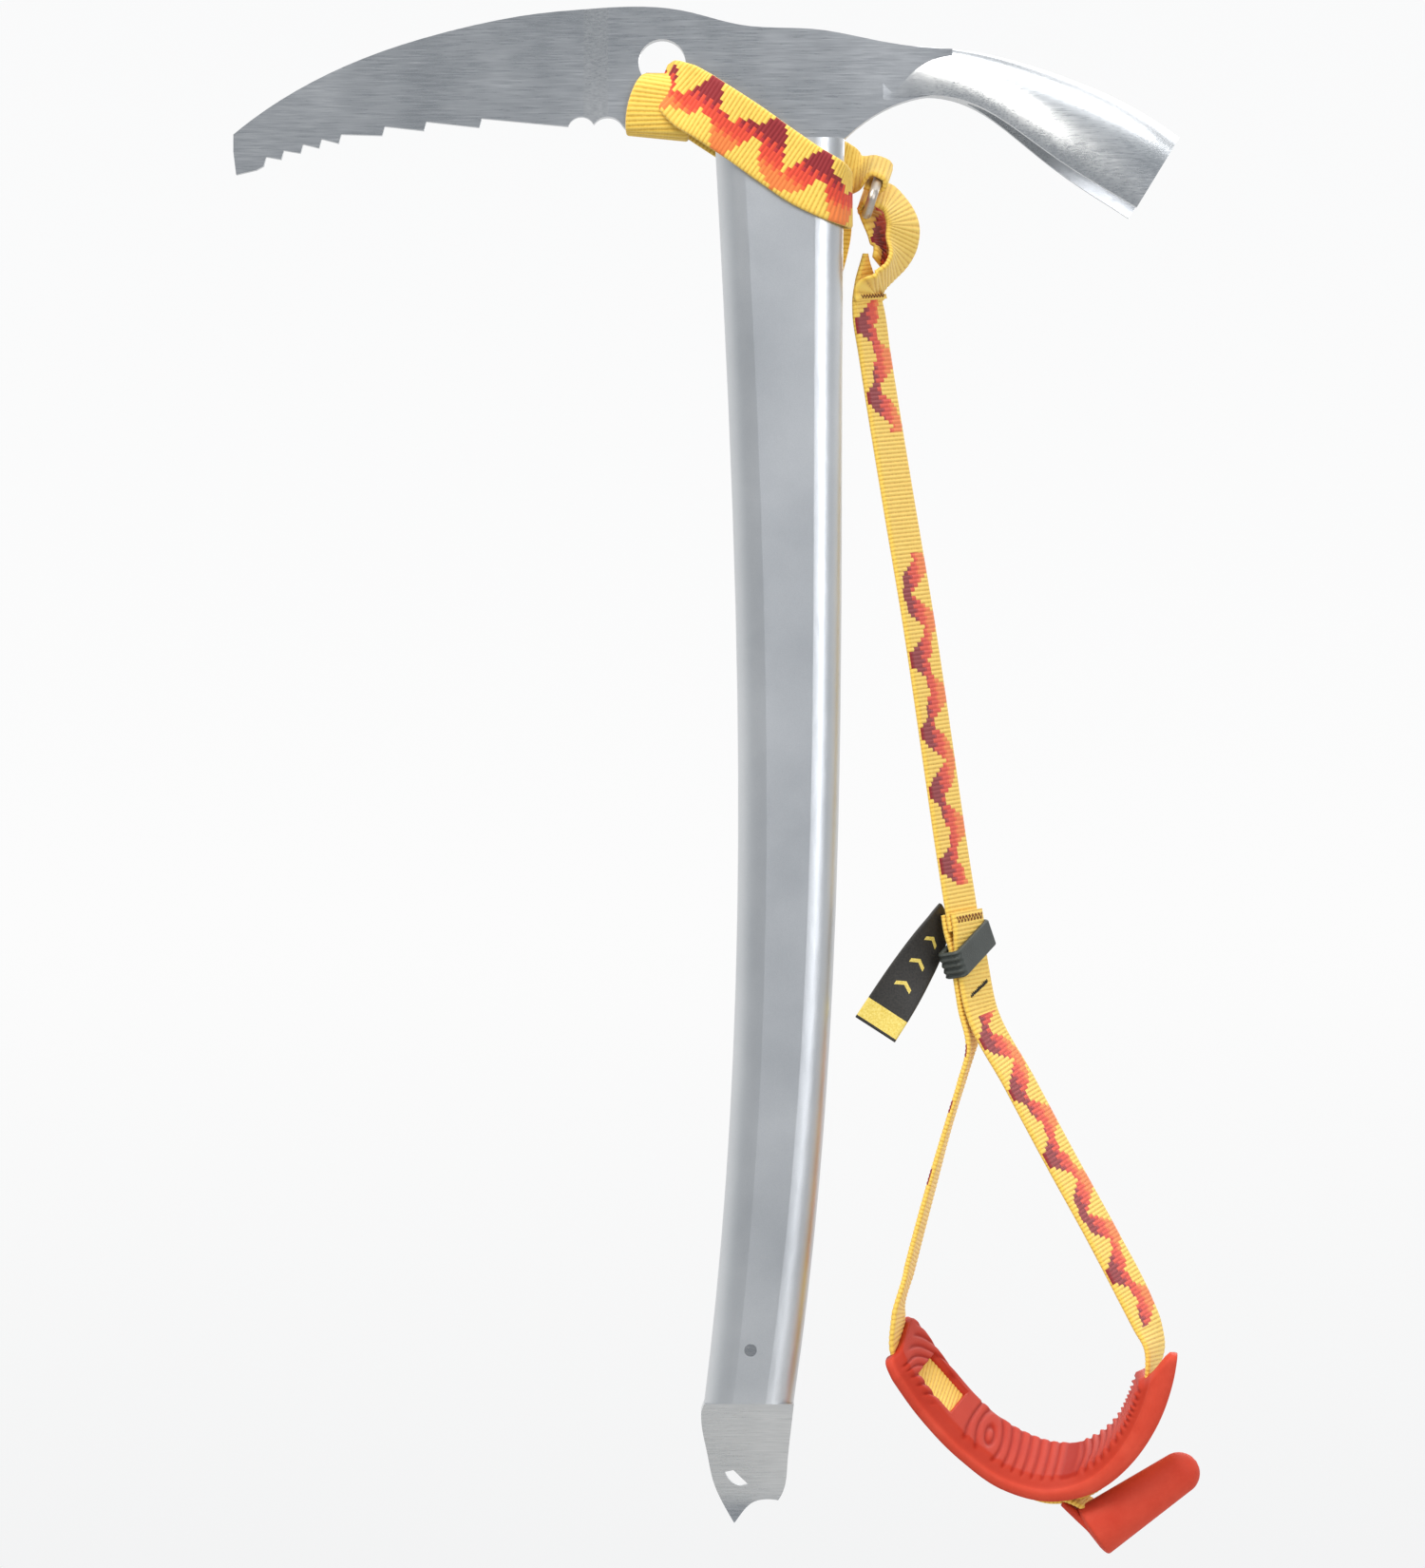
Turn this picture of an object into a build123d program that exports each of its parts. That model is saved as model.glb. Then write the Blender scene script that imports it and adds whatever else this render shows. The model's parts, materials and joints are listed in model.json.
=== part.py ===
"""Walking ice axe, 48 cm, with a webbing wrist leash on a ring at the head.

Frame: millimetres. The origin is the centre of the hang hole in the head. +Z runs up the shaft, the pick points
to -X and the adze to +X, and Y is the thin direction of the axe. The leash hangs beside the shaft, at +X.
"""

import os

from build123d import *

os.makedirs("parts", exist_ok=True)

# ---------------------------------------------------------------- driving dimensions

# head, one forging
pick_thickness = 4.0
body_thickness = 8.0
pick_tip_x = -136.0
pick_ramp = (-25.0, -17.0)
hole_radius = 7.5
tooth_depth = 2.9
tooth_tips = (-126.4, -120.8, -114.7, -108.8, -102.6, -88.8, -75.6, -58.0, -29.8)
underside_z = -21.0
adze_wall = 3.2
tang_width = 22.0
tang_length = 60.0

# shaft, a curved and tapered aluminium tube
shaft_top = -24.0
shaft_bottom = -424.5
shaft_depth = 20.0
shaft_corner = 9.0
shaft_wall = 1.6
shaft_half_length = (shaft_top - shaft_bottom - 0.5) / 2
shaft_mid = shaft_top - shaft_half_length
left_edge = (24.1, -1.07, -9.05, 2.72)
right_edge = (56.3, 3.78, -6.45, 4.27)

# plugs, rivets and spike
fit_gap = 0.05
plug_beyond_tang = 8.0
rivet_radius = 2.5
rivet_places = ((31.5, -30.5), (45.5, -38.0))
tang_centre_x = 38.0
spike_tang_width = 15.0
spike_tang_thickness = 7.0
spike_tang_length = 36.0
spike_tang_centre_x = 28.0
spike_pin_radius = 2.0
spike_pin_below_tang_top = 19.0
spike_length = 38.3
spike_tip_thickness = 5.0

# webbing and leash hardware
webbing_width = 20.0
webbing_thickness = 1.6
soft_gap = 0.3
tongue_width = 20.0
ring_wire = 3.0
ring_gap = 5.0
slider_wall = 1.9
slider_height = 9.0
slider_slot = 2 * webbing_thickness + 1.6
slider_slot_spare = 5.0
pad_width = 34.0
pad_wall = 2.4
pad_lip = 3.0
pad_window = (15.0, 11.0)
tag_width = 15.0
tag_thickness = 1.2
toggle_large = 9.0
toggle_small = 6.2

# directions of the leash: down along the strap, across the webbing, and out of its patterned face
strap_down = Vector(0.154, 0, -0.988).normalized()
strap_across = Vector(0.494, 0.866, 0.077).normalized()
strap_face = strap_down.cross(strap_across).normalized()
ring_across = Vector(0.155, 0.866, 0.475).normalized()
ring_face = Vector(0.951, 0, -0.311).normalized()
ring_short = ring_across.cross(ring_face).normalized()

leash_y = 12.0
ring_centre = Vector(67.7, leash_y, -39.2)
bar_offset = (ring_gap + ring_wire) / 2
bar_to_webbing = ring_wire / 2 + soft_gap + webbing_thickness / 2
upper_bar = ring_centre - ring_short * bar_offset
lower_bar = ring_centre + ring_short * bar_offset


def tooth_line(x):
    """Height of the tooth tips: a cubic that drops away towards the pick's point."""
    return -20.0 - 1.39e-5 * max(0.0, tooth_tips[-1] - x) ** 3


def shaft_x(edge, z):
    """X of the shaft's left or right edge at height z, a cubic in the height."""
    along = (z - shaft_mid) / shaft_half_length
    return edge[0] + edge[1] * along + edge[2] * along**2 + edge[3] * along**3


def shaft_core(inset, high, low):
    """A length of the shaft's section, drawn in by inset, between two heights."""
    heights = [high + (low - high) * step / 6 for step in range(7)]
    with BuildPart() as core:
        with BuildSketch(Plane.XZ):
            with BuildLine():
                left = Spline([(shaft_x(left_edge, z) + inset, z) for z in heights])
                right = Spline([(shaft_x(right_edge, z) - inset, z) for z in heights])
                Line(left @ 0, right @ 0)
                Line(left @ 1, right @ 1)
            make_face()
        extrude(amount=shaft_depth / 2 - inset, both=True)
        long_edges = core.edges().filter_by(lambda edge: edge.length > 0.8 * (high - low))
        fillet(long_edges, radius=shaft_corner - inset)
    return core.part


def webbing(stations, width=webbing_width, thickness=webbing_thickness):
    """A flat strap through stations, each a point and the direction of its width there."""
    points = [Vector(point) for point, across in stations]
    last = len(points) - 1
    with BuildPart() as strap:
        for index, (point, across) in enumerate(stations):
            run = (points[min(index + 1, last)] - points[max(index - 1, 0)]).normalized()
            side = Vector(across)
            side = (side - run * side.dot(run)).normalized()
            with BuildSketch(Plane(origin=points[index], x_dir=side, z_dir=run)):
                Rectangle(width, thickness)
        loft(ruled=True)
    return strap


# ---------------------------------------------------------------- head

neck_end_x = 92.0
neck_underside = ((neck_end_x, -10.5), (85.0, -10.4), (75.0, -12.8), (67.0, -16.8))
tang_left = tang_centre_x - tang_width / 2
tang_right = tang_centre_x + tang_width / 2
tang_end = shaft_top - tang_length
collar_left = shaft_x(left_edge, shaft_top)
collar_right = shaft_x(right_edge, shaft_top)

with BuildPart() as ice_axe_head:
    with BuildSketch(Plane.XZ):
        with BuildLine():
            back = Spline(
                (pick_tip_x, -22.6),
                (-113.7, -7.4),
                (-89.5, 3.5),
                (-65.4, 10.7),
                (-41.3, 15.5),
                (-17.2, 17.5),
                (-2.1, 17.6),
                (8.0, 16.2),
                (25.0, 12.0),
                (49.0, 10.6),
                (67.0, 7.3),
                (neck_end_x, 4.4),
            )
            neck = Spline(*neck_underside, (collar_right, shaft_top))
            Line(back @ 1, neck @ 0)
            # the tang runs down from the shoulder that sits on the shaft
            Polyline(
                neck @ 1,
                (tang_right, shaft_top),
                (tang_right, tang_end),
                (tang_left, tang_end),
                (tang_left, shaft_top),
                (collar_left, shaft_top),
                (collar_left - 5, underside_z),
                (-11.5, underside_z),
            )
            # two shallow scallops behind the teeth
            Polyline((-11.5, underside_z), (-12.6, -19.8))
            ThreePointArc((-12.6, -19.8), (-17.3, -17.0), (-21.7, -19.4))
            ThreePointArc((-21.7, -19.4), (-26.4, -17.0), (tooth_tips[-1], tooth_line(tooth_tips[-1])))
            # teeth, from the last one to the point: a ramp to each tip, then a square step back up
            corners = []
            for tip, following in zip(tooth_tips[-2::-1], tooth_tips[:0:-1]):
                corners.append((following, tooth_line(following)))
                corners.append((tip + 0.8, tooth_line(tip) + tooth_depth))
            corners.append((tooth_tips[0], tooth_line(tooth_tips[0])))
            Polyline(*corners, (-128.7, -33.8), (-135.1, -35.3), (pick_tip_x, -28.0), (pick_tip_x, -22.6))
        make_face()
    extrude(amount=body_thickness / 2, both=True)
    # the pick is thinner than the body, with a ramp between the two
    for side in (1, -1):
        with BuildSketch(Plane.XY.offset(-60)):
            with BuildLine():
                Polyline(
                    (pick_tip_x - 5, side * pick_thickness / 2),
                    (pick_ramp[0], side * pick_thickness / 2),
                    (pick_ramp[1], side * body_thickness / 2),
                    (pick_ramp[1], side * body_thickness),
                    (pick_tip_x - 5, side * body_thickness),
                    close=True,
                )
            make_face()
        extrude(amount=100, mode=Mode.SUBTRACT)
    # hang hole
    with BuildSketch(Plane.XZ):
        Circle(hole_radius)
    extrude(amount=body_thickness, both=True, mode=Mode.SUBTRACT)
    # adze: half-ellipse sections that open out from the neck, x / half width / top / bottom
    adze_sections = (
        (70.0, 4.2, 6.7, -12.0),
        (84.0, 5.4, 5.3, -10.4),
        (98.0, 10.0, 3.8, -13.2),
        (113.0, 16.5, 0.4, -22.8),
        (130.0, 22.5, -5.3, -35.4),
        (148.0, 26.5, -13.3, -46.6),
        (168.0, 28.5, -26.3, -58.5),
    )
    for x, half_width, top, bottom in adze_sections:
        with BuildSketch(Plane.YZ.offset(x)):
            with BuildLine():
                arch = EllipticalCenterArc((0, bottom), half_width, top - bottom, start_angle=0, arc_size=180)
                Line(arch @ 1, arch @ 0)
            make_face()
    loft()
    # the cup under the adze leaves an even wall
    for x, half_width, top, bottom in ((97.0, 6.0, -9.0, -15.5),) + adze_sections[3:]:
        with BuildSketch(Plane.YZ.offset(x)):
            with BuildLine():
                arch = EllipticalCenterArc(
                    (0, bottom - 1), half_width - adze_wall, top - bottom - adze_wall + 1,
                    start_angle=0, arc_size=180,
                )
                Line(arch @ 1, arch @ 0)
            make_face()
    loft(mode=Mode.SUBTRACT)
    # slanted cutting edge
    with BuildSketch(Plane.XZ):
        Polygon((139.0, -64.0), (149.5, -47.0), (163.4, -24.4), (173.9, -7.4), (205.0, -7.4), (205.0, -64.0),
                align=None)
    extrude(amount=40, both=True, mode=Mode.SUBTRACT)
    # rivet holes through the tang
    with BuildSketch(Plane.XZ):
        with Locations(*rivet_places):
            Circle(rivet_radius)
    extrude(amount=body_thickness, both=True, mode=Mode.SUBTRACT)
ice_axe_head.part.label = "ice_axe_head"
export_step(ice_axe_head.part, "parts/ice_axe_head.step")

# ---------------------------------------------------------------- shaft and what it holds

spike_pin_z = shaft_bottom + spike_tang_length - spike_pin_below_tang_top

with BuildPart() as shaft:
    add(shaft_core(0, shaft_top, shaft_bottom))
    add(shaft_core(shaft_wall, shaft_top + 5, shaft_bottom - 5), mode=Mode.SUBTRACT)
    with BuildSketch(Plane.XZ):
        with Locations(*rivet_places):
            Circle(rivet_radius)
        with Locations((spike_tang_centre_x, spike_pin_z)):
            Circle(spike_pin_radius)
    extrude(amount=shaft_depth, both=True, mode=Mode.SUBTRACT)
shaft.part.label = "shaft"
export_step(shaft.part, "parts/shaft.step")

head_plug_end = tang_end - plug_beyond_tang
with BuildPart() as head_plug:
    add(shaft_core(shaft_wall + fit_gap, shaft_top - fit_gap, head_plug_end))
    with BuildSketch(Plane.XZ):
        with Locations((tang_centre_x, (shaft_top + tang_end) / 2)):
            Rectangle(tang_width + 2 * fit_gap, tang_length + 2 * fit_gap)
    extrude(amount=body_thickness / 2 + fit_gap, both=True, mode=Mode.SUBTRACT)
    with BuildSketch(Plane.XZ):
        with Locations(*rivet_places):
            Circle(rivet_radius)
    extrude(amount=shaft_depth, both=True, mode=Mode.SUBTRACT)
head_plug.part.label = "head_plug"
export_step(head_plug.part, "parts/head_plug.step")

with BuildPart() as head_rivets:
    with BuildSketch(Plane.XZ):
        with Locations(*rivet_places):
            Circle(rivet_radius)
    extrude(amount=shaft_depth / 2, both=True)
head_rivets.part.label = "head_rivets"
export_step(head_rivets.part, "parts/head_rivets.step")

spike_tang_top = shaft_bottom + spike_tang_length
with BuildPart() as spike_plug:
    add(shaft_core(shaft_wall + fit_gap, spike_tang_top + plug_beyond_tang, shaft_bottom + fit_gap))
    with BuildSketch(Plane.XZ):
        with Locations((spike_tang_centre_x, shaft_bottom + spike_tang_length / 2)):
            Rectangle(spike_tang_width + 2 * fit_gap, spike_tang_length + 2 * fit_gap)
    extrude(amount=spike_tang_thickness / 2 + fit_gap, both=True, mode=Mode.SUBTRACT)
    with BuildSketch(Plane.XZ):
        with Locations((spike_tang_centre_x, spike_pin_z)):
            Circle(spike_pin_radius)
    extrude(amount=shaft_depth, both=True, mode=Mode.SUBTRACT)
spike_plug.part.label = "spike_plug"
export_step(spike_plug.part, "parts/spike_plug.step")

spike_tip_z = shaft_bottom - spike_length
spike_left = shaft_x(left_edge, shaft_bottom)
spike_right = shaft_x(right_edge, shaft_bottom)
with BuildPart() as spike:
    with BuildSketch(Plane.XZ):
        with BuildLine():
            # each point is an X and how far it lies under the shaft's end
            left_side = ((12.4, 2.5), (12.5, 6.5), (14.2, 15.5), (16.4, 25.6), (19.1, 31.7),
                         (22.9, spike_length))
            beak = ((22.9, spike_length), (25.4, 34.9), (28.9, 31.7), (32.6, 30.8), (36.8, 31.1))
            right_side = ((36.8, 31.1), (38.8, 27.0), (39.7, 19.6), (41.0, 6.5), (spike_right, 0.0))
            Polyline((spike_right, shaft_bottom), (spike_left, shaft_bottom), (12.4, shaft_bottom - 2.5))
            for outline in (left_side, beak, right_side):
                Spline([(x, shaft_bottom - below) for x, below in outline])
        make_face()
    extrude(amount=shaft_depth / 2, both=True)
    # seen from the side it tapers in a soft curve from the shaft's thickness to the tip
    with BuildSketch(Plane.YZ.offset(-10)):
        with BuildLine():
            half_tip = spike_tip_thickness / 2
            for side in (1, -1):
                Spline(
                    (side * shaft_depth / 2, shaft_bottom + 1),
                    (side * (half_tip + 5.5), shaft_bottom - 7.5),
                    (side * (half_tip + 1.6), shaft_bottom - 19.5),
                    (side * half_tip, spike_tip_z - 1),
                )
            Line((-shaft_depth / 2, shaft_bottom + 1), (shaft_depth / 2, shaft_bottom + 1))
            Line((-half_tip, spike_tip_z - 1), (half_tip, spike_tip_z - 1))
        make_face()
    extrude(amount=80, mode=Mode.INTERSECT)
    # slanted keyhole slot
    with BuildSketch(Plane.XZ):
        with BuildLine():
            slot = [(x, shaft_bottom - below)
                    for x, below in ((19.9, 22.0), (22.6, 21.4), (27.4, 26.1), (25.4, 26.5), (21.8, 25.1))]
            Polyline(*slot[:4])
            ThreePointArc(slot[3], slot[4], slot[0])
        make_face()
    extrude(amount=shaft_depth, both=True, mode=Mode.SUBTRACT)
    # tang up into the shaft
    with BuildSketch(Plane.XZ):
        with Locations((spike_tang_centre_x, shaft_bottom + spike_tang_length / 2 - 1)):
            Rectangle(spike_tang_width, spike_tang_length + 2)
    extrude(amount=spike_tang_thickness / 2, both=True)
    with BuildSketch(Plane.XZ):
        with Locations((spike_tang_centre_x, spike_pin_z)):
            Circle(spike_pin_radius)
    extrude(amount=shaft_depth, both=True, mode=Mode.SUBTRACT)
spike.part.label = "spike"
export_step(spike.part, "parts/spike.step")

with BuildPart() as spike_pin:
    with BuildSketch(Plane.XZ):
        with Locations((spike_tang_centre_x, spike_pin_z)):
            Circle(spike_pin_radius)
    extrude(amount=shaft_depth / 2, both=True)
spike_pin.part.label = "spike_pin"
export_step(spike_pin.part, "parts/spike_pin.step")

# ---------------------------------------------------------------- hitch of webbing at the head

on_body = body_thickness / 2 + soft_gap
on_shaft = shaft_depth / 2 + soft_gap
wrap_x = (-11.5, 8.5)
hole_fill_top = -2.4
band_start = Vector(8.05, 0, -10.7)
band_along = Vector(0.822, 0, -0.569).normalized()
band_width_direction = Vector(0.569, 0, 0.822).normalized()
turn_left = 47.0
turn_heights = (-52.0, -34.0)
edge_x = shaft_x(right_edge, turn_heights[1])

with BuildPart() as hitch_wrap:
    # the strap round the web of steel under the hole
    with BuildSketch(Plane.YZ.offset(wrap_x[0])):
        with Locations((0, (underside_z + hole_fill_top) / 2 - webbing_thickness / 2)):
            Rectangle(2 * (on_body + webbing_thickness), hole_fill_top - underside_z + webbing_thickness)
        with Locations((0, (underside_z + hole_fill_top) / 2)):
            Rectangle(2 * on_body, hole_fill_top - underside_z + 2 * soft_gap, mode=Mode.SUBTRACT)
    extrude(amount=wrap_x[1] - wrap_x[0])
    # its bunched folds fill the lower part of the hole
    with BuildSketch(Plane.XZ):
        Circle(hole_radius - soft_gap)
        with Locations((0, hole_fill_top + hole_radius)):
            Rectangle(4 * hole_radius, 2 * hole_radius, mode=Mode.SUBTRACT)
    extrude(amount=on_body + webbing_thickness, both=True)
hitch_wrap.part.label = "hitch_wrap"
export_step(hitch_wrap.part, "parts/hitch_wrap.step")

with BuildPart() as hitch_band:
    # one band crosses the front of the shaft and one the back, from the hole to the far edge
    band_plane = Plane(origin=band_start, x_dir=band_along, z_dir=band_width_direction)
    out = band_plane.y_dir.Y
    above_wrap = on_body + webbing_thickness + soft_gap
    with BuildSketch(band_plane.offset(-webbing_width / 2)):
        for side in (1, -1):
            inner = side * out
            with BuildLine():
                Polyline(
                    (-5.0, inner * above_wrap),
                    (3.0, inner * above_wrap),
                    (9.0, inner * on_shaft),
                    (54.0, inner * on_shaft),
                    (54.0, inner * (on_shaft + webbing_thickness)),
                    (8.4, inner * (on_shaft + webbing_thickness)),
                    (2.0, inner * (above_wrap + webbing_thickness)),
                    (-5.0, inner * (above_wrap + webbing_thickness)),
                    close=True,
                )
            make_face()
    extrude(amount=webbing_width)
    # trimmed where the bands turn round the shaft's edge
    with BuildSketch(Plane.XZ):
        with Locations((turn_left + 60, -40)):
            Rectangle(120, 140)
    extrude(amount=40, both=True, mode=Mode.SUBTRACT)
    with BuildSketch(Plane.XY.offset(turn_heights[0])):
        outer_edge = edge_x + soft_gap + webbing_thickness
        with Locations(((turn_left + outer_edge) / 2 - 10, 0)):
            RectangleRounded(outer_edge - turn_left + 20, 2 * (on_shaft + webbing_thickness),
                             shaft_corner + soft_gap + webbing_thickness)
        with Locations(((turn_left + edge_x + soft_gap) / 2 - 10, 0)):
            RectangleRounded(edge_x + soft_gap - turn_left + 20, 2 * on_shaft, shaft_corner + soft_gap,
                             mode=Mode.SUBTRACT)
        with Locations((turn_left - 50, 0)):
            Rectangle(100, 80, mode=Mode.SUBTRACT)
    extrude(amount=turn_heights[1] - turn_heights[0])
hitch_band.part.label = "hitch_band"
export_step(hitch_band.part, "parts/hitch_band.step")

over_band = on_shaft + webbing_thickness + soft_gap + webbing_thickness / 2
strap_tail = webbing(
    [
        ((53.0, over_band, -44.0), (1, 0, 0)),
        ((52.0, over_band, -56.0), (1, 0, 0)),
        ((50.5, over_band + 1.6, -66.0), (1, 0.2, 0)),
        ((48.5, over_band + 2.8, -78.0), (1, 0.35, 0)),
    ],
    width=webbing_width * 0.8,
)
strap_tail.part.label = "strap_tail"
export_step(strap_tail.part, "parts/strap_tail.step")

# the tab comes round from the back of the shaft, loops over the ring's upper bar and is sewn to itself
tab_layer = over_band + webbing_thickness + soft_gap
# a wider strap starts its turn further out, clear of the band
tab_reach = webbing_width * 0.3
ring_tab = webbing(
    [
        ((47.0, tab_layer, -24.5), (0.35, 0, 0.94)),
        ((56.0, tab_layer, -28.0), (0.35, 0, 0.94)),
        ((55.4 + tab_reach, tab_layer - 0.9, -30.6), (0.28, 0.30, 0.91)),
        ((59.2 + tab_reach * 5 / 6, tab_layer - 3.6, -32.0), (0.24, 0.62, 0.75)),
        (upper_bar - ring_face * 2.4 - ring_short * bar_to_webbing, ring_across),
        (upper_bar - ring_short * bar_to_webbing, ring_across),
        (upper_bar + (ring_face - ring_short) * bar_to_webbing * 0.9, ring_across),
        (upper_bar + ring_face * (bar_to_webbing + 0.3), ring_across),
        (upper_bar + (ring_face + ring_short) * bar_to_webbing * 0.9, ring_across),
        (upper_bar + ring_short * bar_to_webbing, ring_across),
        (upper_bar - ring_face * 3.6 + ring_short * bar_to_webbing, ring_across),
    ]
)
ring_tab.part.label = "ring_tab"
export_step(ring_tab.part, "parts/ring_tab.step")

with BuildPart() as ring:
    long_side = webbing_width + 1.0
    with BuildSketch(Plane(origin=ring_centre - ring_face * ring_wire / 2, x_dir=ring_across, z_dir=ring_face)):
        RectangleRounded(long_side + 2 * ring_wire, ring_gap + 2 * ring_wire, ring_wire + 0.8)
        RectangleRounded(long_side, ring_gap, 0.8, mode=Mode.SUBTRACT)
    extrude(amount=ring_wire)
    rims = ring.edges().filter_by(lambda edge: abs(edge.tangent_at(0.5).dot(ring_face)) < 0.5)
    fillet(rims, radius=ring_wire / 2 - 0.1)
ring.part.label = "ring"
export_step(ring.part, "parts/ring.step")

# ---------------------------------------------------------------- leash strap with its eye round the ring

strap_top = Vector(66.5, leash_y, -84.0)
strap_length = 184.0
strap_bottom = strap_top + strap_down * strap_length
curl_across = Vector(0.30, 0.87, 0.38)

main_strap = webbing(
    [
        (strap_bottom, strap_across),
        (strap_top, strap_across),
        ((66.4, 12.4, -75.0), strap_across),
        ((70.6, 13.6, -69.6), (0.42, 0.88, 0.20)),
        ((76.6, 15.4, -65.0), curl_across),
        ((80.0, 16.6, -58.0), (0.25, 0.87, 0.42)),
        ((79.6, 16.2, -50.5), ring_across),
        ((75.6, 14.4, -45.0), ring_across),
        (lower_bar - ring_short * bar_to_webbing + ring_face * 2.5, ring_across),
        (lower_bar - ring_short * bar_to_webbing, ring_across),
        (lower_bar - (ring_face + ring_short) * bar_to_webbing * 0.9, ring_across),
        (lower_bar - ring_face * (bar_to_webbing + 0.3), ring_across),
        (lower_bar + (ring_short - ring_face) * bar_to_webbing * 0.9, ring_across),
        (lower_bar + ring_short * bar_to_webbing, ring_across),
        (lower_bar + ring_short * (bar_to_webbing + 1.0) + ring_face * 3.5, ring_across),
        ((73.6, 15.6, -54.0), ring_across),
        ((73.4, 15.4, -60.5), curl_across),
    ]
)
main_strap.part.label = "main_strap"
export_step(main_strap.part, "parts/main_strap.step")

layer_gap = webbing_thickness + soft_gap
# the cut end of the strap, a tapered tongue sewn on behind the eye's seam
with BuildPart() as strap_end:
    tongue_plane = Plane(origin=strap_top - strap_face * layer_gap, x_dir=strap_across, z_dir=strap_face)
    up = 1 if tongue_plane.y_dir.Z > 0 else -1
    with BuildSketch(tongue_plane.offset(-webbing_thickness / 2)):
        edge = tongue_width / 2
        tongue = ((-edge, -6.0), (edge, -6.0), (edge, 8.0), (3.5 - edge, 24.5), (-edge, 14.0))
        Polygon(*[(x, up * y) for x, y in tongue], align=None)
    extrude(amount=webbing_thickness)
strap_end.part.label = "strap_end"
export_step(strap_end.part, "parts/strap_end.step")

# ---------------------------------------------------------------- wrist loop

fork_run = 34.0
seam = strap_bottom + strap_down * 1.0
half_layer = layer_gap / 2
left_start = seam - strap_face * half_layer
right_start = seam + strap_face * half_layer

# stations of the pad's inner wall, from the left end round to the right: place, width direction, depth of lips
pad_stations = (
    ((76.7, 7.0, -404.0), (0.20, 0.87, 0.45), 5.4),
    ((88.0, 12.7, -420.0), (0.20, 0.87, 0.45), 5.4),
    ((100.4, 16.7, -433.5), (0.18, 0.88, 0.42), 5.6),
    ((112.5, 18.4, -442.0), (0.17, 0.89, 0.42), 6.0),
    ((125.0, 17.7, -445.5), (0.15, 0.90, 0.38), 6.4),
    ((136.5, 15.0, -443.0), (0.12, 0.93, 0.32), 7.2),
    ((145.5, 11.7, -435.0), (0.08, 0.96, 0.22), 8.2),
    ((150.5, 9.7, -425.5), (0.03, 0.98, 0.12), 9.2),
    ((153.5, 8.7, -415.0), (0.00, 1.00, 0.05), 9.7),
    ((155.0, 8.5, -407.0), (0.00, 1.00, 0.00), 9.7),
)
pad_points = [Vector(place) for place, across, depth in pad_stations]
pad_last = len(pad_points) - 1
pad_planes = []
for index, (place, across, depth) in enumerate(pad_stations):
    run = (pad_points[min(index + 1, pad_last)] - pad_points[max(index - 1, 0)]).normalized()
    side = Vector(across)
    side = (side - run * side.dot(run)).normalized()
    # in each section, x runs across the pad and y points away from the wrist
    pad_planes.append(Plane(origin=pad_points[index], x_dir=side, z_dir=side.cross(Vector(across).cross(run))))

with BuildPart() as wrist_pad:
    half = pad_width / 2
    for section, (place, across, depth) in zip(pad_planes, pad_stations):
        with BuildSketch(section):
            Polygon(
                (-half, -pad_wall / 2),
                (half, -pad_wall / 2),
                (half, depth - pad_wall / 2),
                (half - pad_lip, depth - pad_wall / 2),
                (half - pad_lip, pad_wall / 2),
                (-half + pad_lip, pad_wall / 2),
                (-half + pad_lip, depth - pad_wall / 2),
                (-half, depth - pad_wall / 2),
                align=None,
            )
    loft(ruled=True)
    # window in the inner wall that shows the webbing
    window_place = (pad_points[1] + pad_points[2]) / 2
    window_run = (pad_points[2] - pad_points[1]).normalized()
    window_plane = Plane(origin=window_place, x_dir=window_run, z_dir=pad_planes[1].y_dir)
    with BuildSketch(window_plane):
        Rectangle(*pad_window)
    extrude(amount=2 * pad_wall, both=True, mode=Mode.SUBTRACT)
wrist_pad.part.label = "wrist_pad"
export_step(wrist_pad.part, "parts/wrist_pad.step")

# one length of webbing: down the left, under the pad in its channel, and up the right
in_channel = pad_wall / 2 + soft_gap + webbing_thickness / 2
channel_offsets = (0.0, 0.0, 0.0, 1.6, 3.0, 1.0, 0.4, 0.4, 0.8, 1.6)
channel_run = [
    (place + section.y_dir * (in_channel + extra), station[1])
    for place, section, extra, station in zip(pad_points, pad_planes, channel_offsets, pad_stations)
]
wrist_strap = webbing(
    [
        (left_start, strap_across),
        (left_start + strap_down * fork_run, strap_across),
        ((97.0, 12.8, -314.0), (0.40, 0.91, 0.09)),
        ((92.2, 12.8, -334.0), (0.24, 0.96, 0.08)),
        ((84.7, 11.4, -360.3), (0.20, 0.97, 0.12)),
        ((78.6, 9.4, -383.8), (0.20, 0.94, 0.26)),
        ((74.6, 7.2, -397.0), (0.20, 0.89, 0.40)),
        *channel_run,
        ((157.6, 8.6, -400.0), (0.25, 0.96, 0.10)),
        ((151.5, 9.0, -393.5), (0.45, 0.88, 0.12)),
        ((139.9, 9.6, -371.8), (0.47, 0.87, 0.12)),
        ((126.6, 10.4, -347.6), (0.47, 0.87, 0.12)),
        ((113.7, 11.0, -323.5), (0.47, 0.87, 0.12)),
        (right_start + strap_down * fork_run, strap_across),
        (right_start, strap_across),
    ]
)
wrist_strap.part.label = "wrist_strap"
export_step(wrist_strap.part, "parts/wrist_strap.step")

# ---------------------------------------------------------------- slider, label and pull toggle

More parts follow.
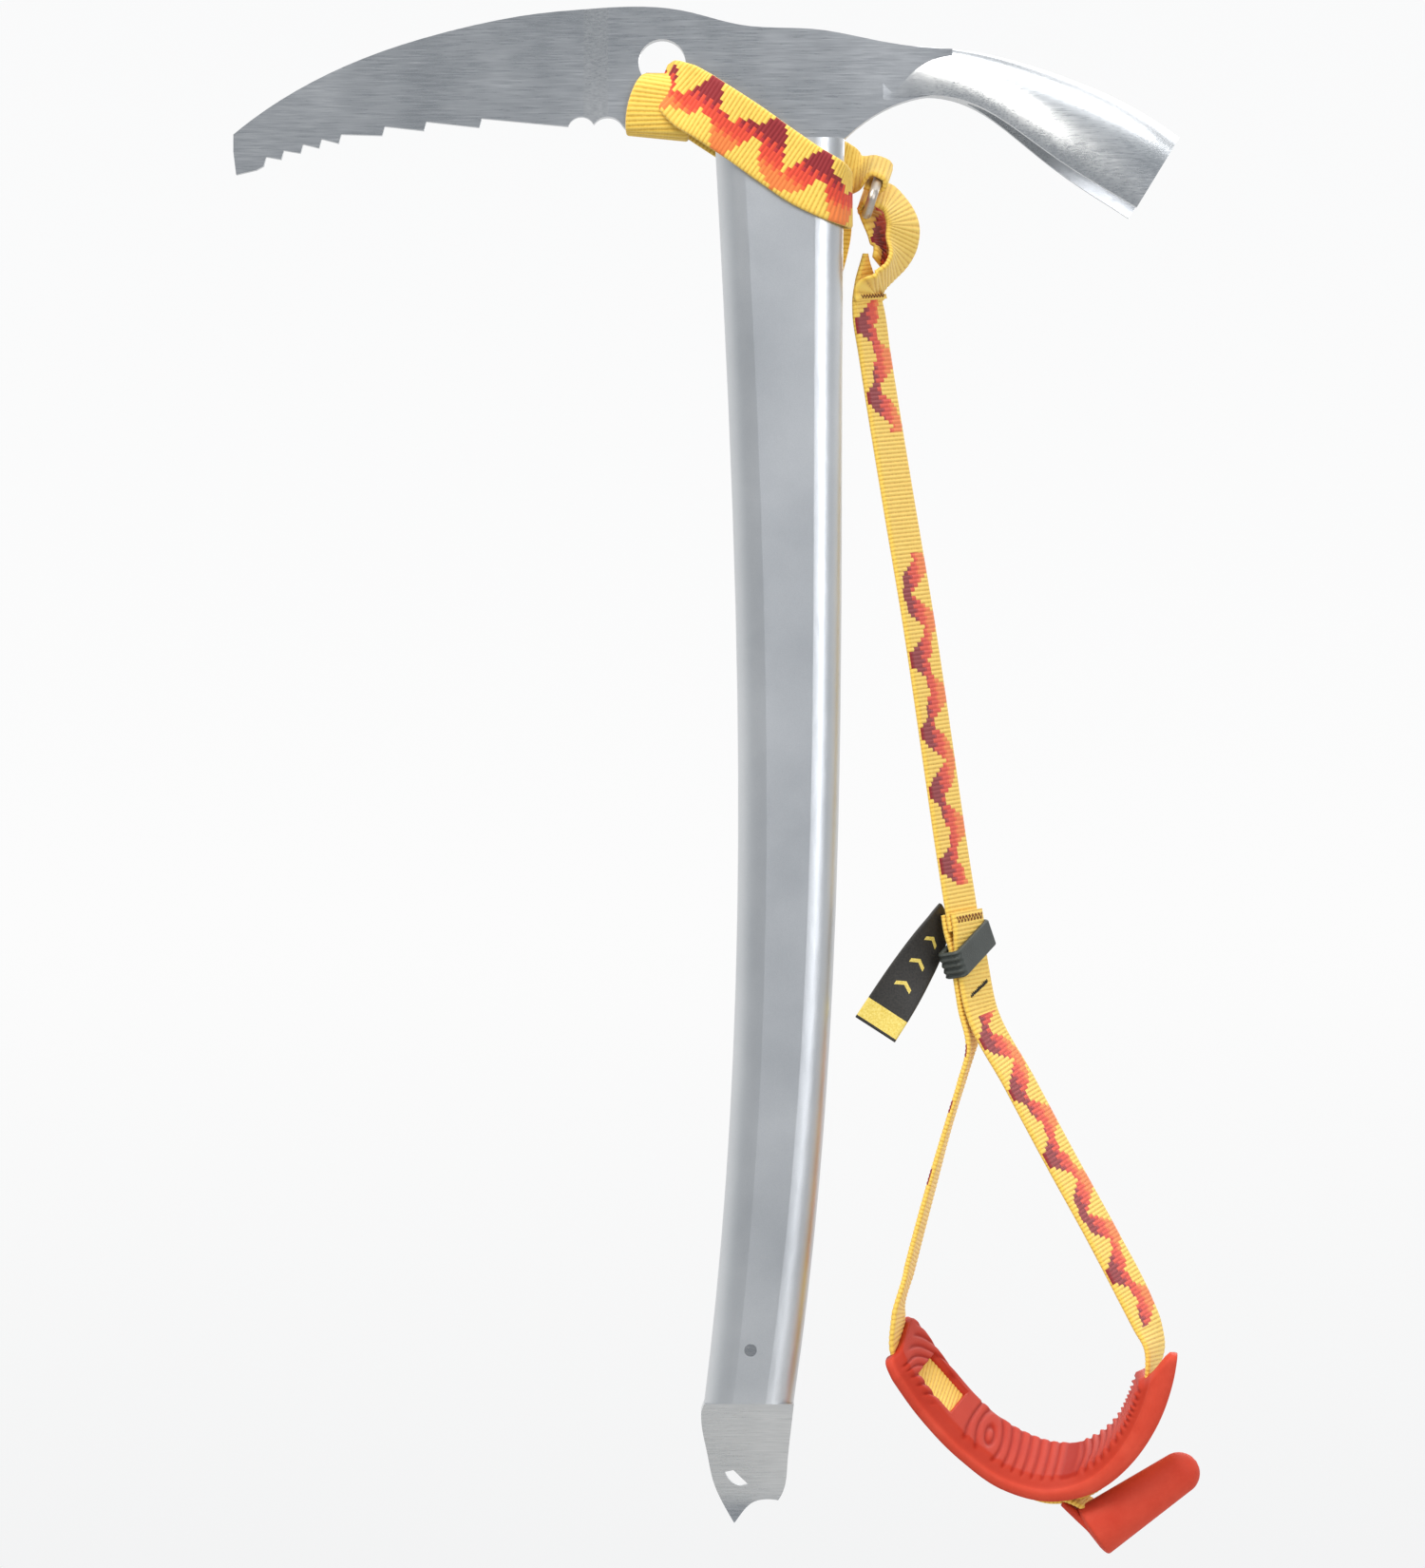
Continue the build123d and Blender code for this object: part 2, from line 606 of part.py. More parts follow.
slider_tilt = Vector(0.39, 0.83, 0.40).normalized()
slider_across = (slider_tilt - strap_face * slider_tilt.dot(strap_face)).normalized()
slider_centre = seam + strap_down * 14.5
slider_slot_length = webbing_width + slider_slot_spare
with BuildPart() as slider:
    slider_up = slider_across.cross(strap_face).normalized()
    foot = slider_centre - slider_up * slider_height / 2
    with BuildSketch(Plane(origin=foot, x_dir=slider_across, z_dir=slider_up)):
        RectangleRounded(slider_slot_length + 2 * slider_wall, slider_slot + 2 * slider_wall, 1.6)
        Rectangle(slider_slot_length, slider_slot, mode=Mode.SUBTRACT)
    extrude(amount=slider_height)
slider.part.label = "slider"
export_step(slider.part, "parts/slider.step")

label_tag = webbing(
    [
        ((90.0, 10.8, -270.0), strap_across),
        ((87.8, 8.6, -275.0), (0.62, 0.78, 0.0)),
        ((82.4, 5.5, -283.5), (0.80, 0.55, -0.20)),
        ((76.4, 3.6, -293.0), (0.90, 0.25, -0.32)),
        ((67.6, 1.5, -306.5), (0.93, -0.05, -0.36)),
    ],
    width=tag_width,
    thickness=tag_thickness,
)
label_tag.part.label = "label_tag"
export_step(label_tag.part, "parts/label_tag.step")

toggle_start = Vector(141.0, 10.0, -463.6)
toggle_end = Vector(165.5, 10.0, -447.4)
toggle_run = (toggle_end - toggle_start).normalized()
toggle_length = (toggle_end - toggle_start).length
with BuildPart() as pull_toggle:
    for along, radius in ((-4.0, toggle_large * 0.92), (toggle_length * 0.5, toggle_large * 0.9),
                          (toggle_length, toggle_small)):
        with BuildSketch(Plane(origin=toggle_start + toggle_run * along, x_dir=(0, 1, 0), z_dir=toggle_run)):
            Circle(radius)
    loft()
    fillet(pull_toggle.faces().sort_by(lambda face: face.center().X)[-1].edges(), radius=toggle_small * 0.8)
pull_toggle.part.label = "pull_toggle"
export_step(pull_toggle.part, "parts/pull_toggle.step")

# short loop of webbing that ties the toggle to the strap under the pad
pull_loop = webbing(
    [
        ((127.0, 15.0, -453.8), (0.15, 0.90, 0.38)),
        ((131.0, 13.5, -455.0), (0.12, 0.92, 0.35)),
        ((134.0, 12.5, -456.8), (0.10, 0.94, 0.30)),
    ],
    width=toggle_large * 1.3,
)
pull_loop.part.label = "pull_loop"
export_step(pull_loop.part, "parts/pull_loop.step")
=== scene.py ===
# %% [markdown]
# # An ice axe with a woven wrist leash
#
# The metal axe comes from the CAD frame, and its shape stays as it is. What is soft or moulded, which
# is the webbing, the wrist pad, the toggle, the slider and the label, is worked out here as numpy
# surfaces that lie where the plain CAD solids lie. Everything is in metres, and +Z runs up the shaft.

# %% Load the frame
import json
from math import pi, radians

import bmesh
import bpy
import numpy as np
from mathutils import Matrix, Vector


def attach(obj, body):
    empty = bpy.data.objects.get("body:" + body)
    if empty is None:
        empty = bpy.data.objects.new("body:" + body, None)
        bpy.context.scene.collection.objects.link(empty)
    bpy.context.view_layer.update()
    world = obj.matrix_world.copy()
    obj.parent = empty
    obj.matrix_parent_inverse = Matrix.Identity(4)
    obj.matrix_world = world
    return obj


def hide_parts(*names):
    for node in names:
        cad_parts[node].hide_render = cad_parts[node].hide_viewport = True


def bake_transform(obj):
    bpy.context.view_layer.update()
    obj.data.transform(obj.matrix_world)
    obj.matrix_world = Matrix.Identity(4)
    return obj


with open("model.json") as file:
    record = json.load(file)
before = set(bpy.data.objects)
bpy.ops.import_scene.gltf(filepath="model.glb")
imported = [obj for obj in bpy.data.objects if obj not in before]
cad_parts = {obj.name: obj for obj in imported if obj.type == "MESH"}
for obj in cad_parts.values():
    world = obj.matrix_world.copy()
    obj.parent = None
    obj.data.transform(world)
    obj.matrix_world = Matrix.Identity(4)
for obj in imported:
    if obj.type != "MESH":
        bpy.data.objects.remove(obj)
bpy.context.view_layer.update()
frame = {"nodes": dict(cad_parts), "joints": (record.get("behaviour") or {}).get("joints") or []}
MM = 0.001
joint_places = {joint["name"]: np.array(joint.get("pos_m", (0, 0, 0))) for joint in frame["joints"]}
joint_axes = {joint["name"]: np.array(joint["axis"]) for joint in frame["joints"]}

# %% [markdown]
# ## Small tools
#
# Colours are written as the hex values a painter would pick and turned into linear light in one place.
# One function adds a shader node with its settings and links, and four short ones name what is done most
# often: arithmetic, a change of range, a blend of two colours and relief. So a material reads as a list of
# steps.



# %% Colours and nodes
def linear(hex_colour):
    """The linear colour of an sRGB hex value: each channel is ((c + 0.055) / 1.055) to the power 2.4."""
    channels = np.array([int(hex_colour[i:i + 2], 16) for i in (1, 3, 5)]) / 255
    straight = np.where(channels <= 0.04045, channels / 12.92, ((channels + 0.055) / 1.055) ** 2.4)
    return (*straight, 1.0)


def add(tree, kind, inputs=None, **settings):
    """Adds a node, sets its properties, and fills its inputs with values or with other nodes' sockets."""
    made = tree.nodes.new("ShaderNode" + kind)
    for name, value in settings.items():
        setattr(made, name, value)
    for key, value in (inputs or {}).items():
        if isinstance(value, bpy.types.NodeSocket):
            tree.links.new(value, made.inputs[key])
        else:
            made.inputs[key].default_value = value
    return made


def ramp(tree, factor, stops, interpolation="LINEAR"):
    """A colour ramp over factor, with stops given as (place, hex colour)."""
    made = add(tree, "ValToRGB", {0: factor})
    made.color_ramp.interpolation = interpolation
    while len(made.color_ramp.elements) < len(stops):
        made.color_ramp.elements.new(0.5)
    for element, (place, colour) in zip(made.color_ramp.elements, stops):
        element.position = place
        element.color = linear(colour)
    return made.outputs["Color"]


def calc(tree, operation, *values):
    """The result of one arithmetic node; values are numbers or sockets, in the order of its inputs."""
    return add(tree, "Math", dict(enumerate(values)), operation=operation).outputs[0]


def remap(tree, value, source=(0.0, 1.0), target=(0.0, 1.0)):
    """Value moved in a straight line from the range source to the range target, and clamped there."""
    return add(tree, "MapRange", {"Value": value, "From Min": source[0], "From Max": source[1],
                                  "To Min": target[0], "To Max": target[1]}).outputs["Result"]


def mix(tree, factor, first, second, blend_type="MIX"):
    """Two colours blended by factor."""
    return add(tree, "Mix", {"Factor": factor, "A": first, "B": second}, data_type="RGBA",
               blend_type=blend_type).outputs[2]


def emboss(tree, shader, height, strength, depth):
    """Relief of a depth in metres, given to the shader as its normal."""
    relief = add(tree, "Bump", {"Strength": strength, "Distance": depth, "Height": height})
    tree.links.new(relief.outputs["Normal"], shader.inputs["Normal"])


def new_material(name):
    """A material with only its principled shader; returns the material, its tree and that shader."""
    material = bpy.data.materials.new(name)
    material.use_nodes = True
    tree = material.node_tree
    shader = next(node for node in tree.nodes if node.type == "BSDF_PRINCIPLED")
    return material, tree, shader


# %% [markdown]
# ## Camera, floor and light
#
# The axe is looked at square on, from far away through a long lens, so that the drawing of its side is
# nearly without perspective. A pale disc lies below the hanging leash. The light is soft: a large panel
# from the upper left, a weaker one from the right, a long strip overhead, one behind, and a pale surround
# that the steel can mirror.

# %% Camera
VIEW_CENTRE = (0.01598, -0.2285)
VIEW_HEIGHT = 0.4975
CAMERA_DISTANCE = 2.6
SENSOR = 36.0

camera_data = bpy.data.cameras.new("camera")
camera_data.sensor_width = SENSOR
camera_data.lens = SENSOR * CAMERA_DISTANCE / VIEW_HEIGHT
camera = bpy.data.objects.new("camera", camera_data)
camera.location = (VIEW_CENTRE[0], -CAMERA_DISTANCE, VIEW_CENTRE[1])
camera.rotation_euler = (pi / 2, 0, 0)
bpy.context.scene.collection.objects.link(camera)
bpy.context.scene.camera = camera
bpy.context.scene.view_settings.view_transform = "Standard"
print("camera: lens", round(camera_data.lens), "mm at", CAMERA_DISTANCE, "m")


# %% Floor, surround and lights
def panel(name, place, target, size, watts, colour="#ffffff"):
    """A square area light at place that faces target."""
    data = bpy.data.lights.new(name, "AREA")
    data.shape = "RECTANGLE"
    data.size, data.size_y = size
    data.energy = watts
    data.color = linear(colour)[:3]
    light = bpy.data.objects.new(name, data)
    light.location = place
    aim = np.array(target) - np.array(place)
    light.rotation_mode = "QUATERNION"
    light.rotation_quaternion = Vector(aim).to_track_quat("-Z", "Y")
    bpy.context.scene.collection.objects.link(light)


FLOOR_Z = -0.53
FLOOR_RADIUS = 0.5
FLOOR_SHIFT = 0.05  # towards the leash
turns = np.linspace(0, 2 * pi, 97)[:-1]
floor_mesh = bpy.data.meshes.new("floor")
floor_rim = np.stack([FLOOR_RADIUS * np.cos(turns) + FLOOR_SHIFT, FLOOR_RADIUS * np.sin(turns),
                      np.full(len(turns), FLOOR_Z)], 1)
floor_mesh.from_pydata(floor_rim.tolist(), [], [list(range(len(turns)))])
floor = bpy.data.objects.new("floor", floor_mesh)
bpy.context.scene.collection.objects.link(floor)
floor_material, tree, shader = new_material("Matt white card")
shader.inputs["Base Color"].default_value = linear("#bdbcba")
shader.inputs["Roughness"].default_value = 0.9
floor_mesh.materials.append(floor_material)

world = bpy.data.worlds.new("surround")
world.use_nodes = True
bpy.context.scene.world = world
surround = world.node_tree
background = next(node for node in surround.nodes if node.type == "BACKGROUND")
heading = add(surround, "TexCoord")
upward = add(surround, "SeparateXYZ", {0: heading.outputs["Generated"]}).outputs["Z"]
height = remap(surround, upward, (-1.0, 1.0))
sky = ramp(surround, height, [(0.0, "#a9abae"), (0.4, "#e6e7e8"), (0.49, "#fcfcfc"), (1.0, "#e9ecef")])
depth = add(surround, "SeparateXYZ", {0: heading.outputs["Generated"]}).outputs["Y"]
depth = remap(surround, depth, (-1.0, 0.3))
front_and_back = ramp(surround, depth, [(0.0, "#abafb4"), (0.35, "#c0c3c7"), (0.55, "#d6d9db"),
                                        (1.0, "#ffffff")])
tinted = mix(surround, 1.0, sky, front_and_back, "MULTIPLY")
surround.links.new(tinted, background.inputs["Color"])
background.inputs["Strength"].default_value = 1.0

axe_middle = (0.03, 0, -0.22)
panel("key", (-0.7, -1.1, 1.25), axe_middle, (0.9, 0.9), 26, "#fffaf2")
panel("fill", (1.0, -1.5, 0.2), axe_middle, (0.8, 1.2), 12, "#fbfcff")
panel("top_strip", (0.1, -0.1, 1.0), axe_middle, (1.4, 0.25), 8)
panel("rear", (0.5, 1.3, 0.5), axe_middle, (1.0, 1.0), 8)
print("stage: floor at", FLOOR_Z, "m and four panels")

# %% [markdown]
# ## Metals
#
# **Forged and ground steel.** The head and the spike are forged in one piece, then ground. The belt
# leaves fine parallel lines, so the roughness is stretched noise along X. **Anodised aluminium.** The
# shaft is bead blasted and anodised silver: an even, fine, milky sparkle. Both are full metals, and
# what is seen is mostly the surround.


# %% Metal materials
def metal(name, low, high, roughness, grain_mm, stretch, bump):
    """A metal whose colour and roughness follow noise, grain_mm wide and stretch times as long."""
    material, tree, shader = new_material(name)
    place = add(tree, "TexCoord").outputs["Object"]
    per_metre = 1 / (grain_mm * MM)
    squeezed = add(tree, "Mapping", {0: place, "Scale": (per_metre / stretch, per_metre, per_metre)})
    grain = add(tree, "TexNoise", {0: squeezed.outputs[0], "Scale": 1.0, "Detail": 3.0, "Roughness": 0.6})
    cloud = add(tree, "TexNoise", {0: place, "Scale": 22.0, "Detail": 4.0, "Roughness": 0.55})
    both = calc(tree, "ADD", grain.outputs[0], cloud.outputs[0])
    tone = remap(tree, both, (0.7, 1.3))
    tree.links.new(ramp(tree, tone, [(0.0, low), (1.0, high)]), shader.inputs["Base Color"])
    tree.links.new(remap(tree, tone, target=roughness), shader.inputs["Roughness"])
    emboss(tree, shader, grain.outputs[0], bump, 0.06 * MM)
    shader.inputs["Metallic"].default_value = 1.0
    return material


steel = metal("Ground carbon steel", "#b3b6b9", "#cfd1d3", (0.24, 0.36), 0.35, 26.0, 0.35)
bright_steel = metal("Turned stainless steel", "#a9abad", "#c6c8ca", (0.2, 0.3), 0.3, 6.0, 0.2)
ring_steel = metal("Zinc plated steel wire", "#bdb4a9", "#d8d0c6", (0.42, 0.52), 0.3, 8.0, 0.2)
aluminium = metal("Silver anodised aluminium", "#c3c6c9", "#d6d8da", (0.34, 0.42), 0.16, 1.0, 0.5)
print("metals:", steel.name, bright_steel.name, ring_steel.name, aluminium.name)

# %% [markdown]
# ## Plastics and rubber
#
# ** Moulded rubber.** The pad and the toggle are a red thermoplastic rubber. It is dyed through, with
# a soft broad sheen and a faint spark-eroded texture from the mould. A painted shade darkens the pad's
# groove hollows and, a little, its whole inner wall.
# **Glass-filled nylon.** The slider and the hidden plugs are dark grey nylon with a finely pitted
# skin.


# %% Moulded materials
def moulded(name, low, high, deep, roughness, pit_mm, pits, gloss=0.35):
    """A moulded skin: two tones in soft clouds, the painted shade colour deep where the shade attribute is
    1, and round pits.
    """
    material, tree, shader = new_material(name)
    place = add(tree, "TexCoord").outputs["Object"]
    cloud = add(tree, "TexNoise", {0: place, "Scale": 70.0, "Detail": 5.0, "Roughness": 0.6}).outputs[0]
    skin_tone = ramp(tree, cloud, [(0.3, low), (0.72, high)])
    # painted shade: the skin goes towards the colour deep where the shade attribute is 1, on the pad's
    # groove hollows and inner wall
    painted_shade = add(tree, "Attribute", attribute_name="shade").outputs["Fac"]
    tree.links.new(mix(tree, painted_shade, skin_tone, linear(deep)), shader.inputs["Base Color"])
    pit = add(tree, "TexVoronoi", {0: place, "Scale": 1 / (pit_mm * MM)}).outputs["Distance"]
    emboss(tree, shader, pit, pits, 0.08 * MM)
    tree.links.new(remap(tree, cloud, target=roughness), shader.inputs["Roughness"])
    shader.inputs["Specular IOR Level"].default_value = gloss
    return material


# the third colour of each is its painted shade colour; only the pad carries the shade attribute, so only
# the red one shows
red_rubber = moulded("Red thermoplastic rubber", "#c63f2b", "#d34f3a", "#a32412", (0.5, 0.62), 0.5, 0.3,
                     gloss=0.16)
black_nylon = moulded("Dark grey glass-filled nylon", "#363a37", "#474c48", "#2a2d2b", (0.4, 0.52), 0.45,
                      0.5)
plug_nylon = moulded("Black nylon plug", "#17181a", "#222426", "#101112", (0.5, 0.6), 0.5, 0.4)
print("moulded:", red_rubber.name, black_nylon.name, plug_nylon.name)

# %% [markdown]
# ## Woven polyester webbing
#
# The strap is a 20 mm jacquard webbing: thick weft ribs run across it every 1.35 mm, a yellow ground
# floats over most of it, and stretches of its face carry a stepped zigzag in three dyes, dark red at
# one edge, vermilion in the middle and orange at the other. The pattern reads the piece's own UV map,
# where u runs across from 0 to 1 and v is the distance along the strap in metres, so it bends with
# the strap. It is counted in whole ribs and whole bundles of warp threads, because a loom can only
# change colour there. One attribute, motif, says where the pattern is: on the patterned face, and
# only along the stretches that carry it.

# %% Webbing material
RIB = 1.35 * MM
WARP_BUNDLES = 15
THREADS_PER_BUNDLE = 3
ZIG_RIBS = 8.0  # ribs from one turn of the zigzag to the next
ZIG_MIDDLE = (0.16, 0.8)  # where its middle line turns, as a share of the width
SWELL_RIBS = 5.0  # ribs from its thinnest place to its thickest
ZIG_REACH = (0.14, 0.4)  # how far it reaches either side of its middle line
DYES = [(0.0, "#8f1620"), (0.36, "#b3202a"), (0.4, "#e0452a"), (0.66, "#ee5c30"), (0.72, "#f0803a")]


def webbing_material(name):
    """Yellow ribbed ground with a stepped zigzag whose colour depends on the place across the strap."""
    material, tree, shader = new_material(name)
    weave = add(tree, "SeparateXYZ", {0: add(tree, "UVMap", uv_map="weave").outputs[0]})
    across, along = weave.outputs["X"], weave.outputs["Y"]
    ribs = calc(tree, "MULTIPLY_ADD", along, 1 / RIB, 0.5)
    row = calc(tree, "FLOOR", ribs)
    bundle = calc(tree, "FLOOR", calc(tree, "MULTIPLY", across, WARP_BUNDLES))
    column = calc(tree, "DIVIDE", bundle, WARP_BUNDLES)
    # a triangle wave in whole ribs, and a quicker one that changes the zigzag's thickness
    zig = calc(tree, "PINGPONG", row, ZIG_RIBS)
    middle = remap(tree, zig, (0.0, ZIG_RIBS), ZIG_MIDDLE)
    quick = calc(tree, "PINGPONG", row, SWELL_RIBS)
    reach = remap(tree, quick, (0.0, SWELL_RIBS), ZIG_REACH)
    apart = calc(tree, "ABSOLUTE", calc(tree, "SUBTRACT", column, middle))
    near = calc(tree, "LESS_THAN", apart, reach)
    # the pattern is only on the face side, and only along the stretches that carry it
    shown = calc(tree, "GREATER_THAN", add(tree, "Attribute", attribute_name="motif").outputs["Fac"], 0.5)
    figure = calc(tree, "MULTIPLY", near, shown)
    # every other rib reaches one bundle further, which makes the colours meet in a comb
    odd = calc(tree, "FLOORED_MODULO", row, 2.0)
    combed = calc(tree, "MULTIPLY_ADD", odd, 1.05 / WARP_BUNDLES, column)
    dyes = ramp(tree, combed, DYES, "CONSTANT")
    # ground: a painted highlight on the crown of each rib and painted shade in the groove, with slight
    # changes along the piece; the same painted rib shade also dims the dyes
    crown = calc(tree, "PINGPONG", calc(tree, "FLOORED_MODULO", ribs, 1.0), 0.5)
    place = add(tree, "TexCoord").outputs["Object"]
    mottle = add(tree, "TexNoise", {0: place, "Scale": 900.0, "Detail": 2.0}).outputs[0]
    rib_light_and_mottle = calc(tree, "MULTIPLY_ADD", mottle, 0.4, crown)
    ground = ramp(tree, rib_light_and_mottle, [(0.16, "#deaa38"), (0.34, "#f2c44c"), (0.62, "#f8d260")])
    rib_shade_and_mottle = remap(tree, rib_light_and_mottle, (0.14, 0.4), (0.88, 1.0))
    toned = mix(tree, 1.0, mix(tree, figure, ground, dyes), rib_shade_and_mottle, "MULTIPLY")
    tree.links.new(toned, shader.inputs["Base Color"])
    # warp threads: fine cords along the strap, seen as relief between the ribs
    threads = calc(tree, "MULTIPLY", across, 2 * pi * THREADS_PER_BUNDLE * WARP_BUNDLES)
    relief = calc(tree, "MULTIPLY_ADD", calc(tree, "SINE", threads), 0.25, crown)
    emboss(tree, shader, relief, 0.35, 0.2 * MM)
    shader.inputs["Roughness"].default_value = 0.72
    shader.inputs["Sheen Weight"].default_value = 0.25
    shader.inputs["Sheen Roughness"].default_value = 0.5
    return material


woven = webbing_material("Woven polyester webbing")
print("webbing: ribs every", RIB / MM, "mm")

# %% [markdown]
# ## The woven label and the thread
#
# The label is a narrow satin ribbon, black with a yellow end. Where a maker would weave a name it has
# plain chevrons. The stitches are bonded nylon thread.


# %% Label and thread materials
YELLOW_END = 7.5 * MM
BLACK_FOLD = 0.9 * MM
CHEVRON_STRETCH = (11.5 * MM, 36.0 * MM)
CHEVRON_PITCH = 8.5 * MM
CHEVRON_SLANT = 8.0 * MM


def ribbon_material(name):
    """Black satin with a yellow end and a row of small chevrons, counted from the piece's UV map."""
    material, tree, shader = new_material(name)
    weave = add(tree, "SeparateXYZ", {0: add(tree, "UVMap", uv_map="weave").outputs[0]})
    across, along = weave.outputs["X"], weave.outputs["Y"]
    off_middle = calc(tree, "ABSOLUTE", calc(tree, "SUBTRACT", across, 0.5))
    # chevrons: stripes whose place along the ribbon shifts with the distance from its middle
    slanted = calc(tree, "MULTIPLY_ADD", off_middle, CHEVRON_SLANT, along)
    phase = calc(tree, "FLOORED_MODULO", calc(tree, "DIVIDE", slanted, CHEVRON_PITCH), 1.0)
    stripe = calc(tree, "LESS_THAN", phase, 0.16)
    inside = calc(tree, "LESS_THAN", off_middle, 0.2)
    before_seam = calc(tree, "LESS_THAN", along, CHEVRON_STRETCH[1])
    past_end = calc(tree, "GREATER_THAN", along, CHEVRON_STRETCH[0])
    in_stretch = calc(tree, "MULTIPLY", before_seam, past_end)
    mark = calc(tree, "MULTIPLY", calc(tree, "MULTIPLY", stripe, inside), in_stretch)
    # the marks are yellow on black, and the yellow end has a black folded edge
    end = calc(tree, "LESS_THAN", along, YELLOW_END)
    fold = calc(tree, "LESS_THAN", along, BLACK_FOLD)
    yellow = calc(tree, "SUBTRACT", calc(tree, "MAXIMUM", end, mark), fold)
    place = add(tree, "TexCoord").outputs["Object"]
    satin = add(tree, "TexNoise", {0: place, "Scale": 1800.0, "Detail": 1.0}).outputs[0]
    black = ramp(tree, satin, [(0.3, "#15130f"), (0.7, "#2c2823")])
    gold = ramp(tree, satin, [(0.3, "#dcbf4c"), (0.7, "#f0da78")])
    tree.links.new(mix(tree, yellow, black, gold), shader.inputs["Base Color"])
    emboss(tree, shader, satin, 0.3, 0.1 * MM)
    shader.inputs["Roughness"].default_value = 0.55
    shader.inputs["Sheen Weight"].default_value = 0.2
    return material


def thread_material(name, dark, light):
    """Twisted thread: two tones that change quickly along it."""
    material, tree, shader = new_material(name)
    place = add(tree, "TexCoord").outputs["Object"]
    twist = add(tree, "TexNoise", {0: place, "Scale": 2500.0, "Detail": 1.0}).outputs[0]
    tree.links.new(ramp(tree, twist, [(0.35, dark), (0.65, light)]), shader.inputs["Base Color"])
    shader.inputs["Roughness"].default_value = 0.6
    return material


ribbon = ribbon_material("Woven satin label ribbon")
dark_thread = thread_material("Black bonded nylon thread", "#141210", "#2e2a26")
brown_thread = thread_material("Brown bonded nylon thread", "#5b2d17", "#8a4a24")
print("label and thread materials made")

# %% [markdown]
# ## Finishes on the CAD pieces
#
# The metal pieces and the hidden plugs keep their CAD shape. Only the material in their slots is
# changed.

# %% Dress the CAD pieces
finishes = {
    "ice_axe_head": steel,
    "spike": steel,
    "shaft": aluminium,
    "head_rivets": bright_steel,
    "spike_pin": bright_steel,
    "head_plug": plug_nylon,
    "spike_plug": plug_nylon,
    "ring": ring_steel,
}
for node_name, material in finishes.items():
    for material_slot in frame["nodes"][node_name].material_slots:
        material_slot.material = material
print("dressed", len(finishes), "CAD nodes")

# %% [markdown]
# ## Surfaces from arrays
#
# A strap, a moulded pad and a toggle are all the same kind of thing to a computer: a closed outline
# carried along a path. `skin` turns such a grid of points into a closed mesh with two end caps, and
# turns the faces outward by the sign of the enclosed volume.


# %% Grid to mesh
def grid_quads(rows, around, closed=False):
    """Point numbers of the quads of a grid of closed outlines, as rows x around x 4.

    With closed, the last outline is joined to the first one, as on a ring."""
    row, column = np.meshgrid(np.arange(rows if closed else rows - 1), np.arange(around), indexing="ij")
    after, below = (column + 1) % around, (row + 1) % rows
    return np.stack([row * around + column, row * around + after,
                     below * around + after, below * around + column], -1)


def enclosed(points, quads):
    """Six times the volume inside the quads: the triple products of their two triangles, summed."""
    corners = points[quads]
    return sum(np.einsum("ij,ij->i", corners[:, 0], np.cross(corners[:, k], corners[:, k + 1])).sum()
               for k in (1, 2))


def place_piece(name, points, faces, material):
    """A smooth-shaded object of these points and faces, at the origin and in the scene."""
    mesh = bpy.data.meshes.new(name)
    mesh.from_pydata(points.tolist(), [], faces)
    mesh.polygons.foreach_set("use_smooth", np.ones(len(mesh.polygons), bool))
    mesh.materials.append(material)
    piece = bpy.data.objects.new(name, mesh)
    bpy.context.scene.collection.objects.link(piece)
    return piece


def skin(name, grid, material, layers=None, uv=None):
    """A closed mesh from grid, rows of closed outlines; layers are float attributes, one value a point."""
    rows, around = grid.shape[:2]
    points = np.concatenate([grid.reshape(-1, 3), grid[0].mean(0)[None], grid[-1].mean(0)[None]])
    quads = grid_quads(rows, around).reshape(-1, 4)
    first = np.arange(around)
    second = (first + 1) % around
    last_row = (rows - 1) * around
    low_cap = np.stack([second, first, np.full(around, rows * around)], 1)
    high_cap = np.stack([last_row + first, last_row + second, np.full(around, rows * around + 1)], 1)
    turn = 1 if enclosed(points, quads) > 0 else -1
    faces = [row for part in (quads, low_cap, high_cap) for row in part[:, ::turn].tolist()]
    piece = place_piece(name, points, faces, material)
    mesh = piece.data
    for layer, values in (layers or {}).items():
        filled = np.concatenate([values.reshape(-1), [values[0].mean(), values[-1].mean()]])
        mesh.attributes.new(layer, "FLOAT", "POINT").data.foreach_set("value", filled.astype(np.float32))
    if uv is not None:
        flat = np.concatenate([uv.reshape(-1, 2), uv[0].mean(0)[None], uv[-1].mean(0)[None]])
        used = np.empty(len(mesh.loops), np.int32)
        mesh.loops.foreach_get("vertex_index", used)
        mesh.uv_layers.new(name="weave").data.foreach_set("uv", flat[used].astype(np.float32).reshape(-1))
    return piece


def unit(vectors):
    """Each row divided by its own length."""
    return vectors / np.linalg.norm(vectors, axis=-1, keepdims=True)


